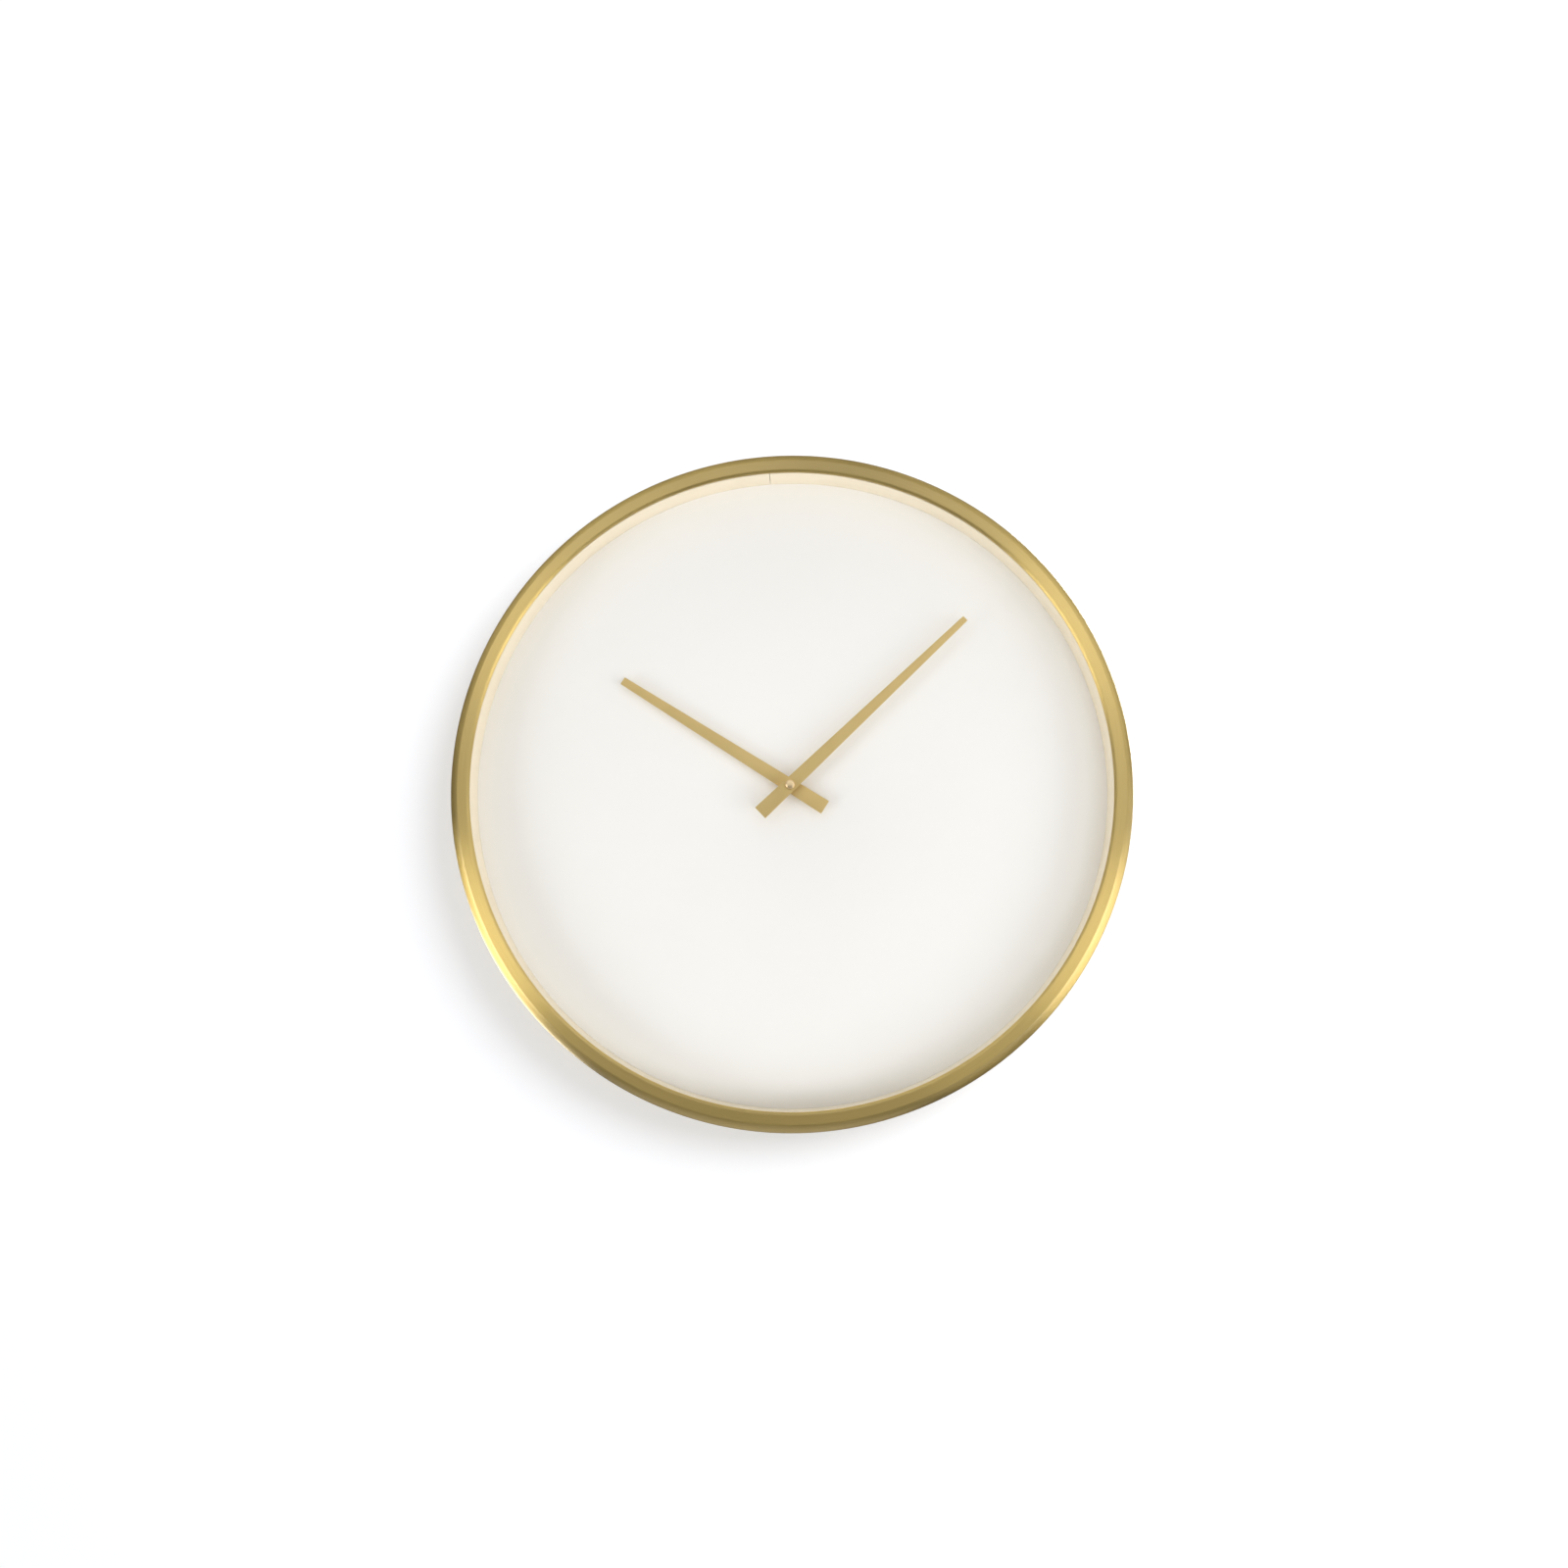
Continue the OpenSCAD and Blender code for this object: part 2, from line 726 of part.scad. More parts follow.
module contact_positive() {
    color(steel) upright() {
        translate([half_in - contact_t, battery_y - 5, battery_depth - 5]) cube([contact_t, 10, 10]);
        translate([half_in - contact_t, battery_y, cover_inner + 0.4]) cube([contact_t, 36, 3]);
        translate([battery_half + nub_h, battery_y, battery_depth]) rotate([0, 90, 0])
            cylinder(h = half_in - contact_t - battery_half - nub_h, r = 2);
    }
}

rim();
gasket();
glass();
spacer_strip();
dial();
dial_board();
clip(1);  // clip_1
clip(2);  // clip_2
clip(3);  // clip_3
clip(4);  // clip_4
clip(5);  // clip_5
clip(6);  // clip_6
clip_screws();
hanger_bracket();
hanger_screws();
hour_hand();
hour_collet();
minute_hand();
minute_collet();
hand_cap();
fixing_nut();
nut_washer();
rubber_washer();
movement_housing();
threaded_bush();
rear_cover();
middle_plate();
minute_tube();
centre_wheel();
hour_wheel();
minute_wheel();
setting_knob();
second_wheel();
third_wheel();
fifth_wheel();
rotor_magnet();
rotor_pinion();
stator();
coil_core();
coil_bobbin();
coil_winding();
circuit_board();
timing_chip();
quartz_crystal();
battery();
contact_negative();
contact_positive();
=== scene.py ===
"""Detailed visual model of a round wall clock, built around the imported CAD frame.

Units are metres, Z is up and the front faces -Y, so a depth in front of the wall is -y.
A profile is a list of (radius, depth) points that is turned about the hand axis.
"""
import json
import math
import random

import bmesh
import bpy
from mathutils import Matrix, Vector


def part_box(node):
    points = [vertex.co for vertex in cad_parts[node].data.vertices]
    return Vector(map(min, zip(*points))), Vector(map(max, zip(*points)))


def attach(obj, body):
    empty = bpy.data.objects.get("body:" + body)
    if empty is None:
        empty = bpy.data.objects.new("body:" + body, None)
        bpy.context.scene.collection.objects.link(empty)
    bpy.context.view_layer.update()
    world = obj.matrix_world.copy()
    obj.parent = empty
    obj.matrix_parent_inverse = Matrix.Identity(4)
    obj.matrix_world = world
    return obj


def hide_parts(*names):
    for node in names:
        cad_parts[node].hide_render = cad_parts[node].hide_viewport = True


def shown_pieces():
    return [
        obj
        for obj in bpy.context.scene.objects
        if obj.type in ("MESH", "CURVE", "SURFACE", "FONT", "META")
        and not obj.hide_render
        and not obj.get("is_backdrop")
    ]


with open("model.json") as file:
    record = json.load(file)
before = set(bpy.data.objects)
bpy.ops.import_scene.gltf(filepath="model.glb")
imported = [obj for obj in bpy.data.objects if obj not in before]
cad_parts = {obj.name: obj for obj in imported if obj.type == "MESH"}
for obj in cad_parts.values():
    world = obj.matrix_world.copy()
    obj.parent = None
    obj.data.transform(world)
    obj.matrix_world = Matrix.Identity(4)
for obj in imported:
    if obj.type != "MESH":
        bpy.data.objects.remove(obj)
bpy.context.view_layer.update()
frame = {"nodes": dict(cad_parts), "record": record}

MM = 0.001
BODY_OF = {n: b for b, group in frame["record"]["behaviour"]["bodies"].items() for n in group}


# --- The CAD frame's sizes ----------------------------------------------------------

def depths(node):
    """(back, front) of a node, as depths in front of the wall."""
    low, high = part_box(node)
    return -high.y, -low.y


def radius(node):
    """Outer radius of a node that is turned about the hand axis, to the nearest 0.05 mm."""
    low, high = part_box(node)
    return round(max(high.z, -low.z) / MM * 20) / 20 * MM


RIM_R = radius("rim")
FRONT = depths("rim")[1]
DIAL_BACK, DIAL_FRONT = depths("dial")
GLASS_BACK, GLASS_FRONT = depths("glass")
BOARD_BACK = depths("dial_board")[0]
HOUSING_BACK, HOUSING_FRONT = depths("movement_housing")
SHEET = 1.5 * MM               # steel and brass sheet of the rim and the hanger
CLIP_T = 1.2 * MM              # steel strip of the clips
LIP_R = RIM_R - 15.5 * MM      # inside of the rim's rolled lip
PROUD, SUNK = 0.15 * MM, 0.1 * MM    # how far a mark stands out of the rear cover, and goes in


# --- Shapes -------------------------------------------------------------------------

def polar(r, degrees):
    return Vector((r * math.cos(math.radians(degrees)), r * math.sin(math.radians(degrees))))


def arc(centre, r, start, end, steps):
    """Points on an arc, both ends included; angles in degrees."""
    return [Vector(centre) + polar(r, start + (end - start) * i / steps) for i in range(steps + 1)]


def filleted(corners, steps=5):
    """A closed outline with rounded corners, from a list of (x, y, corner radius)."""
    points = []
    for i, (x, y, r) in enumerate(corners):
        here = Vector((x, y))
        before = Vector(corners[i - 1][:2]) - here
        after = Vector(corners[(i + 1) % len(corners)][:2]) - here
        if r <= 0:
            points.append(here)
            continue
        half = before.angle(after) / 2
        reach = min(r / math.tan(half), before.length * 0.49, after.length * 0.49)
        r = reach * math.tan(half)
        first, last = here + before.normalized() * reach, here + after.normalized() * reach
        inward = (before.normalized() + after.normalized()).normalized()
        centre = here + inward * (r / math.sin(half))
        spoke, end = first - centre, last - centre
        turn = spoke.angle_signed(end)
        for k in range(steps + 1):
            points.append(centre + Matrix.Rotation(-turn * k / steps, 2) @ spoke)
    return points


def to_object(name, mesh, smooth_angle=35):
    """A new object for a mesh, smooth except where faces meet at more than smooth_angle."""
    if isinstance(mesh, bmesh.types.BMesh):
        data = bpy.data.meshes.new(name)
        bmesh.ops.recalc_face_normals(mesh, faces=mesh.faces)
        mesh.to_mesh(data)
        mesh.free()
    else:
        data = mesh
    data.shade_smooth()
    data.set_sharp_from_angle(angle=math.radians(smooth_angle))
    obj = bpy.data.objects.new(name, data)
    bpy.context.scene.collection.objects.link(obj)
    return obj


def turned(name, profile, steps, span=(0.0, 360.0), centre=(0.0, 0.0)):
    """Turns a closed profile of (radius, depth) points about an axis along Y at centre (x, z).

    span is clockwise from twelve, in degrees; a part turn gets end caps.
    """
    bm = bmesh.new()
    whole = span[1] - span[0] >= 360
    rings = []
    for i in range(steps if whole else steps + 1):
        a = math.radians(span[0] + (span[1] - span[0]) * i / steps)
        rings.append([bm.verts.new((centre[0] + r * math.sin(a), -d, centre[1] + r * math.cos(a)))
                      for r, d in profile])
    pairs = list(zip(rings, rings[1:] + ([rings[0]] if whole else [])))
    count = len(profile)
    for one, two in pairs:
        for k in range(count):
            n = (k + 1) % count
            if profile[k][0] < 1e-9 and profile[n][0] < 1e-9:
                continue
            bm.faces.new((one[k], one[n], two[n], two[k]))
    if not whole:
        bm.faces.new(rings[0])
        bm.faces.new(list(reversed(rings[-1])))
    bmesh.ops.remove_doubles(bm, verts=bm.verts, dist=1e-7)
    bmesh.ops.dissolve_degenerate(bm, edges=bm.edges, dist=1e-7)
    return to_object(name, bm)


def prism(corners, along, edge, steps):
    """A bmesh of a face extruded by the vector along; edge rounds the rims of both its ends."""
    bm = bmesh.new()
    face = bm.faces.new([bm.verts.new(c) for c in corners])
    made = bmesh.ops.extrude_face_region(bm, geom=[face])
    moved = [v for v in made["geom"] if isinstance(v, bmesh.types.BMVert)]
    bmesh.ops.translate(bm, verts=moved, vec=along)
    bmesh.ops.recalc_face_normals(bm, faces=bm.faces)
    if edge:
        way = Vector(along).normalized()
        level = [e for e in bm.edges if abs((e.verts[0].co - e.verts[1].co).dot(way)) < 1e-9]
        rims = [e for e in level if e.calc_face_angle(0) > 0.6]
        bmesh.ops.bevel(bm, geom=rims, offset=edge, segments=steps, profile=0.5, affect="EDGES")
    return bm


def slab(name, outline, back, front, edge=0.0, steps=2, place=None):
    """Extrudes an (x, z) outline between two depths; edge rounds its rims."""
    bm = prism([(x, -back, z) for x, z in outline], (0, back - front, 0), edge, steps)
    if place is not None:
        bmesh.ops.transform(bm, matrix=place, verts=bm.verts)
    return to_object(name, bm)


def swept(name, profile, start, end, to_world, edge):
    """Extrudes a closed (u, v) profile from w = start to w = end; to_world places (u, v, w)."""
    bm = prism([(u, v, start) for u, v in profile], (0, 0, end - start), edge, 2)
    for v in bm.verts:
        v.co = to_world(v.co)
    return to_object(name, bm)


def final_mesh(obj):
    """A new mesh of the object as its modifiers or its curve make it."""
    bpy.context.view_layer.update()
    return bpy.data.meshes.new_from_object(obj.evaluated_get(bpy.context.evaluated_depsgraph_get()))


def evaluated(obj):
    """Gives an object its final mesh and drops the modifiers."""
    data = final_mesh(obj)
    obj.modifiers.clear()
    obj.data = data
    return obj


def carve(obj, *cutters):
    """Subtracts other objects from obj, then removes them."""
    for cutter in cutters:
        mod = obj.modifiers.new("cut", "BOOLEAN")
        mod.operation = "DIFFERENCE"
        mod.solver = "EXACT"
        mod.object = cutter
    evaluated(obj)
    for cutter in cutters:
        bpy.data.objects.remove(cutter)
    obj.data.set_sharp_from_angle(angle=math.radians(35))
    return obj


def joined(name, objects):
    """One object from several."""
    bm = bmesh.new()
    for obj in objects:
        obj.data.transform(obj.matrix_world)
        bm.from_mesh(obj.data)
        bpy.data.objects.remove(obj)
    data = bpy.data.meshes.new(name)
    bm.to_mesh(data)
    bm.free()
    return to_object(name, data)


def refined(node, edge, steps=2):
    """A copy of a CAD node with its flat faces cleaned and its edges rounded."""
    bm = bmesh.new()
    bm.from_mesh(frame["nodes"][node].data)
    bmesh.ops.remove_doubles(bm, verts=bm.verts, dist=1e-6)
    flat = math.radians(0.5)
    bmesh.ops.dissolve_limit(bm, angle_limit=flat, verts=bm.verts, edges=bm.edges)
    obj = to_object(node + "_detail", bm, smooth_angle=30)
    mod = obj.modifiers.new("edges", "BEVEL")
    mod.width = edge
    mod.segments = steps
    mod.limit_method = "ANGLE"
    mod.angle_limit = math.radians(50)
    mod.use_clamp_overlap = True
    mod.harden_normals = True
    return evaluated(obj)


def paint(obj, material):
    obj.data.materials.clear()
    obj.data.materials.append(material)


def finish_piece(obj, node, material, body=None, also=()):
    """Gives a piece its material and body, and hides node, the CAD node that it replaces, and any
    nodes in also.
    """
    paint(obj, material)
    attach(obj, body or BODY_OF[node])
    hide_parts(node, *also)


def add_detail(obj, node, material):
    """A small extra piece on the same body as a CAD node, which it doesn't replace."""
    paint(obj, material)
    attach(obj, BODY_OF[node])


def keep_node(node, material):
    """Shows a CAD node as it is, with a procedural material."""
    paint(frame["nodes"][node], material)


# --- Materials ----------------------------------------------------------------------

class Surface:
    """A Principled material with helpers for procedural colour, roughness and bump."""

    def __init__(self, name, colour, roughness, **sockets):
        self.material = bpy.data.materials.new(name)
        self.material.use_nodes = True
        self.tree = self.material.node_tree
        self.shader = self.tree.nodes["Principled BSDF"]
        self.set(self.shader, "Base Color", (*colour, 1.0))
        self.set(self.shader, "Roughness", roughness)
        for key, value in sockets.items():
            self.set(self.shader, key.replace("_", " "), value)
        self.place = self.tree.nodes.new("ShaderNodeTexCoord").outputs["Object"]

    def set(self, node, socket, value):
        if isinstance(value, bpy.types.NodeSocket):
            self.tree.links.new(value, node.inputs[socket])
        else:
            node.inputs[socket].default_value = value

    def node(self, kind, inputs=(), **settings):
        made = self.tree.nodes.new("ShaderNode" + kind)
        for key, value in settings.items():
            setattr(made, key, value)
        for key, value in dict(inputs).items():
            self.set(made, key, value)
        return made

    def maths(self, operation, *values):
        made = self.node("Math", operation=operation)
        for i, value in enumerate(values):
            self.set(made, i, value)
        return made.outputs[0]

    def scaled(self, x, y, z):
        """The object's coordinates, stretched along each axis."""
        made = self.node("VectorMath", {0: self.place, 1: (x, y, z)}, operation="MULTIPLY")
        return made.outputs[0]

    def noise(self, scale, detail=3.0, vector=None, rough=0.5):
        made = self.node("TexNoise", {"Scale": scale, "Detail": detail, "Roughness": rough,
                                      "Vector": vector or self.place})
        return made.outputs["Fac"]

    def remap(self, value, low, high, start=0.3, stop=0.7):
        """Stretches value from start..stop to low..high."""
        made = self.node("MapRange", {"From Min": start, "From Max": stop,
                                      "To Min": low, "To Max": high, "Value": value})
        return made.outputs[0]

    def blend(self, fac, one, two):
        made = self.node("Mix", data_type="RGBA")
        self.set(made, 0, fac)
        self.set(made, 6, (*one, 1.0) if isinstance(one, tuple) else one)
        self.set(made, 7, (*two, 1.0) if isinstance(two, tuple) else two)
        return made.outputs[2]

    def colour(self, value):
        self.set(self.shader, "Base Color", value)

    def rough(self, value):
        self.set(self.shader, "Roughness", value)

    def bump(self, height, distance, strength=1.0):
        """Adds a bump over any that the shader has already."""
        made = self.node("Bump", {"Strength": strength, "Distance": distance})
        self.set(made, "Height", height)
        if self.shader.inputs["Normal"].is_linked:
            self.set(made, "Normal", self.shader.inputs["Normal"].links[0].from_socket)
        self.set(self.shader, "Normal", made.outputs[0])

    def around(self, rings, along):
        """Coordinates that run round the hand axis: fine across the radius, slow along the turn."""
        split = self.node("SeparateXYZ", {0: self.place})
        flat = self.node("CombineXYZ", {"X": split.outputs["X"], "Z": split.outputs["Z"]})
        length = self.node("VectorMath", {0: flat.outputs[0]}, operation="LENGTH")
        unit = self.node("VectorMath", {0: flat.outputs[0]}, operation="NORMALIZE")
        slow = self.node("VectorMath", {0: unit.outputs[0], "Scale": along}, operation="SCALE")
        slow_split = self.node("SeparateXYZ", {0: slow.outputs[0]})
        across = self.maths("SUBTRACT", length.outputs["Value"], split.outputs["Y"])
        fine = self.maths("MULTIPLY", across, rings)
        out = self.node("CombineXYZ", {"X": slow_split.outputs["X"], "Y": fine,
                                       "Z": slow_split.outputs["Z"]})
        return out.outputs[0]


def rim_brass():
    """Sheet metal with a brass finish, brushed round the ring."""
    s = Surface("rim_brass", (0.85, 0.63, 0.21), 0.42, Metallic=1.0, Anisotropic=1.0,
                Anisotropic_Rotation=0.25, Coat_Weight=0.8, Coat_Roughness=0.3, Coat_IOR=1.5)
    tangent = s.node("Tangent", direction_type="RADIAL", axis="Y").outputs[0]
    s.set(s.shader, "Tangent", tangent)
    strokes = s.noise(1.0, 4.0, s.around(2600.0, 9.0), 0.65)
    broad = s.noise(1.0, 2.0, s.around(160.0, 2.5))
    tone = s.blend(s.remap(strokes, 0.0, 1.0), (0.81, 0.59, 0.185), (0.885, 0.665, 0.235))
    s.colour(s.blend(s.remap(broad, 0.0, 0.3), tone, (0.865, 0.645, 0.225)))
    s.rough(s.maths("ADD", s.remap(strokes, 0.38, 0.45), s.remap(broad, -0.015, 0.015)))
    s.bump(strokes, 0.000008, 0.5)
    return s.material


def hand_brass():
    """Flat stamped brass with a matte satin finish, and very fine straight graining."""
    s = Surface("hand_brass", (0.805, 0.615, 0.28), 0.66, Metallic=1.0)
    grain = s.noise(1.0, 4.0, s.scaled(1500.0, 1500.0, 900.0), 0.6)
    cloud = s.noise(45.0, 2.0)
    s.colour(s.blend(s.remap(cloud, 0.0, 1.0), (0.785, 0.610, 0.275), (0.825, 0.650, 0.305)))
    s.rough(s.remap(grain, 0.62, 0.70))
    s.bump(grain, 0.000008, 0.5)
    return s.material


def turned_metal(name, colour, roughness):
    """Lathe-turned metal: fine rings about an axis along Y."""
    s = Surface(name, colour, roughness, Metallic=1.0, Anisotropic=0.4, Anisotropic_Rotation=0.25)
    tangent = s.node("Tangent", direction_type="RADIAL", axis="Y").outputs[0]
    s.set(s.shader, "Tangent", tangent)
    rings = s.noise(1.0, 3.0, s.around(9000.0, 2.0), 0.6)
    dark = tuple(c * 0.88 for c in colour)
    s.colour(s.blend(s.remap(rings, 0.0, 1.0), dark, colour))
    s.rough(s.remap(rings, roughness * 0.8, roughness * 1.25))
    s.bump(rings, 0.000005, 0.4)
    return s.material


def plated_steel(name, colour, roughness):
    """Stamped sheet steel with a slightly clouded zinc finish."""
    s = Surface(name, colour, roughness, Metallic=1.0)
    cells = s.node("TexVoronoi", {"Scale": 420.0, "Vector": s.place}, feature="F1")
    spangle = cells.outputs["Color"]
    flecks = s.node("SeparateColor", {0: spangle}).outputs["Red"]
    rolled = s.noise(1.0, 4.0, s.scaled(2600.0, 900.0, 160.0), 0.6)
    dark = tuple(c * 0.78 for c in colour)
    s.colour(s.blend(s.maths("MULTIPLY", flecks, 0.45), colour, dark))
    s.rough(s.maths("ADD", s.remap(rolled, roughness * 0.85, roughness * 1.15),
                    s.maths("MULTIPLY", flecks, 0.08)))
    s.bump(rolled, 0.000006, 0.4)
    return s.material


def moulded(name, colour, roughness, grain=0.00001):
    """Moulded plastic with a fine spark-eroded texture and a little tone variation."""
    s = Surface(name, colour, roughness)
    fine = s.noise(5200.0, 2.0)
    broad = s.noise(60.0, 3.0)
    light = tuple(min(1.0, c * 1.12 + 0.004) for c in colour)
    s.colour(s.blend(s.remap(broad, 0.0, 1.0), colour, light))
    s.rough(s.maths("ADD", s.remap(fine, roughness - 0.06, roughness + 0.06),
                    s.remap(broad, -0.03, 0.03)))
    s.bump(fine, grain, 0.6)
    return s.material


def dial_paint():
    """Smooth matte paint: a fine orange-peel and the faintest clouding."""
    s = Surface("dial_paint", (0.89, 0.88, 0.872), 0.62)
    peel = s.noise(1400.0, 2.0)
    cloud = s.noise(9.0, 3.0)
    s.colour(s.blend(s.remap(cloud, 0.0, 1.0), (0.890, 0.888, 0.883), (0.899, 0.898, 0.898)))
    s.rough(s.remap(peel, 0.56, 0.68))
    s.bump(peel, 0.00001, 0.35)
    return s.material


def liner_plastic():
    """The cream strip: matte, with faint lines along its length from the extruder."""
    s = Surface("liner_plastic", (0.93, 0.815, 0.625), 0.55)
    lines = s.noise(1.0, 3.0, s.around(3800.0, 1.5))
    cloud = s.noise(30.0, 2.0)
    s.colour(s.blend(s.remap(cloud, 0.0, 1.0), (0.91, 0.815, 0.64), (0.935, 0.845, 0.68)))
    s.rough(s.remap(lines, 0.48, 0.62))
    s.bump(lines, 0.000012, 0.4)
    return s.material


def pane_glass():
    """Flat float glass: clear straight through, with a mirror reflection that grows at a slant."""
    mat = bpy.data.materials.new("pane_glass")
    mat.use_nodes = True
    nodes, links = mat.node_tree.nodes, mat.node_tree.links
    nodes.clear()
    out = nodes.new("ShaderNodeOutputMaterial")
    clear = nodes.new("ShaderNodeBsdfTransparent")
    clear.inputs["Color"].default_value = (0.996, 0.997, 0.996, 1.0)
    shine = nodes.new("ShaderNodeBsdfGlossy")
    fresnel = nodes.new("ShaderNodeFresnel")
    fresnel.inputs["IOR"].default_value = 1.45
    place = nodes.new("ShaderNodeTexCoord")
    smear = nodes.new("ShaderNodeTexNoise")
    smear.inputs["Scale"].default_value = 14.0
    smear.inputs["Detail"].default_value = 4.0
    spread = nodes.new("ShaderNodeMapRange")
    spread.inputs["To Min"].default_value = 0.01
    spread.inputs["To Max"].default_value = 0.05
    mix = nodes.new("ShaderNodeMixShader")
    links.new(place.outputs["Object"], smear.inputs["Vector"])
    links.new(smear.outputs["Fac"], spread.inputs["Value"])
    links.new(spread.outputs[0], shine.inputs["Roughness"])
    side = nodes.new("ShaderNodeNewGeometry")
    outside = nodes.new("ShaderNodeMath")
    outside.operation = "MULTIPLY_ADD"
    outside.inputs[1].default_value = -1.0
    outside.inputs[2].default_value = 1.0
    share = nodes.new("ShaderNodeMath")
    share.operation = "MULTIPLY"
    links.new(side.outputs["Backfacing"], outside.inputs[0])
    links.new(fresnel.outputs[0], share.inputs[0])
    links.new(outside.outputs[0], share.inputs[1])
    links.new(share.outputs[0], mix.inputs[0])
    links.new(clear.outputs[0], mix.inputs[1])
    links.new(shine.outputs[0], mix.inputs[2])
    links.new(mix.outputs[0], out.inputs["Surface"])
    return mat


def fibreboard():
    """Raw medium-density board: fine pale and dark fibres pressed flat, with sparse dark flecks."""
    s = Surface("fibreboard", (0.36, 0.25, 0.15), 0.85)
    fibres = s.noise(620.0, 8.0, rough=0.72)
    threads = s.noise(1.0, 4.0, s.scaled(1300.0, 400.0, 420.0), 0.6)
    cloud = s.noise(14.0, 5.0, rough=0.6)
    specks = s.node("TexVoronoi", {"Scale": 260.0, "Vector": s.place,
                                   "Randomness": 1.0}).outputs["Distance"]
    mixed = s.maths("ADD", s.maths("MULTIPLY", fibres, 0.75), s.maths("MULTIPLY", threads, 0.25))
    base = s.blend(s.remap(mixed, 0.0, 1.0, 0.36, 0.62), (0.235, 0.15, 0.08), (0.46, 0.33, 0.20))
    base = s.blend(s.remap(cloud, 0.0, 0.45, 0.35, 0.7), base, (0.31, 0.205, 0.115))
    s.colour(s.blend(s.remap(specks, 0.75, 0.0, 0.03, 0.14), base, (0.13, 0.08, 0.045)))
    s.rough(s.remap(mixed, 0.78, 0.92))
    s.bump(mixed, 0.00008, 0.6)
    return s.material


def soft_black(name, colour, roughness, pores):
    """Foam or rubber."""
    s = Surface(name, colour, roughness)
    cells = s.node("TexVoronoi", {"Scale": pores, "Vector": s.place}).outputs["Distance"]
    s.colour(s.blend(s.remap(cells, 0.0, 1.0, 0.0, 0.7), tuple(c * 0.6 for c in colour), colour))
    s.rough(s.remap(cells, roughness - 0.05, roughness + 0.08, 0.0, 0.7))
    s.bump(cells, 0.00003, 0.5)
    return s.material


def copper_wire():
    """Enamelled wire wound round a bobbin that lies along X."""
    s = Surface("copper_wire", (0.62, 0.24, 0.09), 0.28, Metallic=0.7, Coat_Weight=0.5)
    wave = s.node("TexWave", {"Scale": 1600.0, "Distortion": 0.6, "Vector": s.place},
                  wave_type="BANDS", bands_direction="X").outputs["Fac"]
    s.colour(s.blend(wave, (0.30, 0.10, 0.035), (0.70, 0.29, 0.11)))
    s.rough(s.remap(wave, 0.4, 0.22, 0.0, 1.0))
    s.bump(wave, 0.00005, 0.8)
    return s.material


def circuit_green():
    """Solder mask over faint tracks."""
    s = Surface("circuit_green", (0.02, 0.16, 0.06), 0.3, Coat_Weight=0.3)
    tracks = s.node("TexBrick", {"Scale": 210.0, "Mortar Size": 0.03,
                                 "Vector": s.scaled(1.0, 0.0, 1.0)}, offset=0.35).outputs["Fac"]
    weave = s.noise(900.0, 2.0)
    s.colour(s.blend(tracks, (0.015, 0.12, 0.045), (0.05, 0.26, 0.10)))
    s.rough(s.remap(weave, 0.24, 0.4))
    s.bump(tracks, 0.00002, 0.5)
    return s.material


def battery_sleeve():
    """A plain shrink sleeve: graphite with one pale band near the positive end."""
    s = Surface("battery_sleeve", (0.05, 0.07, 0.10), 0.25, Coat_Weight=0.6)
    along = s.node("SeparateXYZ", {0: s.place}).outputs["X"]
    in_band = s.maths("MULTIPLY", s.maths("GREATER_THAN", along, 9.0 * MM),
                      s.maths("LESS_THAN", along, 14.5 * MM))
    scuffs = s.noise(1.0, 4.0, s.scaled(120.0, 900.0, 900.0), 0.6)
    body = s.blend(s.remap(scuffs, 0.0, 1.0), (0.035, 0.05, 0.075), (0.06, 0.08, 0.11))
    s.colour(s.blend(in_band, body, (0.62, 0.64, 0.66)))
    s.rough(s.remap(scuffs, 0.18, 0.34))
    s.bump(scuffs, 0.00001, 0.4)
    return s.material


BRASS_RIM = rim_brass()
BRASS_HAND = hand_brass()
BRASS_CAP = turned_metal("cap_brass", (0.99, 0.77, 0.465), 0.44)
BRASS_TURNED = turned_metal("turned_brass", (0.80, 0.60, 0.26), 0.3)
STEEL = plated_steel("plated_steel", (0.66, 0.67, 0.68), 0.34)
SCREW_STEEL = plated_steel("screw_steel", (0.72, 0.70, 0.62), 0.3)
BLACK = moulded("black_plastic", (0.022, 0.022, 0.024), 0.5, 0.00002)
BLACK_KNOB = moulded("knob_plastic", (0.028, 0.028, 0.030), 0.42, 0.00001)
NATURAL = moulded("natural_plastic", (0.80, 0.77, 0.69), 0.42)
GLOSS = moulded("moulded_panel", (0.030, 0.030, 0.032), 0.24, 0.000004)
PRINT = moulded("printed_marks", (0.56, 0.56, 0.54), 0.5, 0.000004)
DIAL = dial_paint()
LINER = liner_plastic()
GLASS = pane_glass()
BOARD = fibreboard()
FOAM = soft_black("black_foam", (0.02, 0.02, 0.02), 0.85, 1800.0)
RUBBER = soft_black("black_rubber", (0.025, 0.025, 0.025), 0.7, 2600.0)
COPPER = copper_wire()
GREEN = circuit_green()
SLEEVE = battery_sleeve()
MAGNET = moulded("dark_magnet", (0.06, 0.06, 0.065), 0.5)
IRON = plated_steel("motor_iron", (0.42, 0.43, 0.45), 0.4)


# --- Case ---------------------------------------------------------------------------

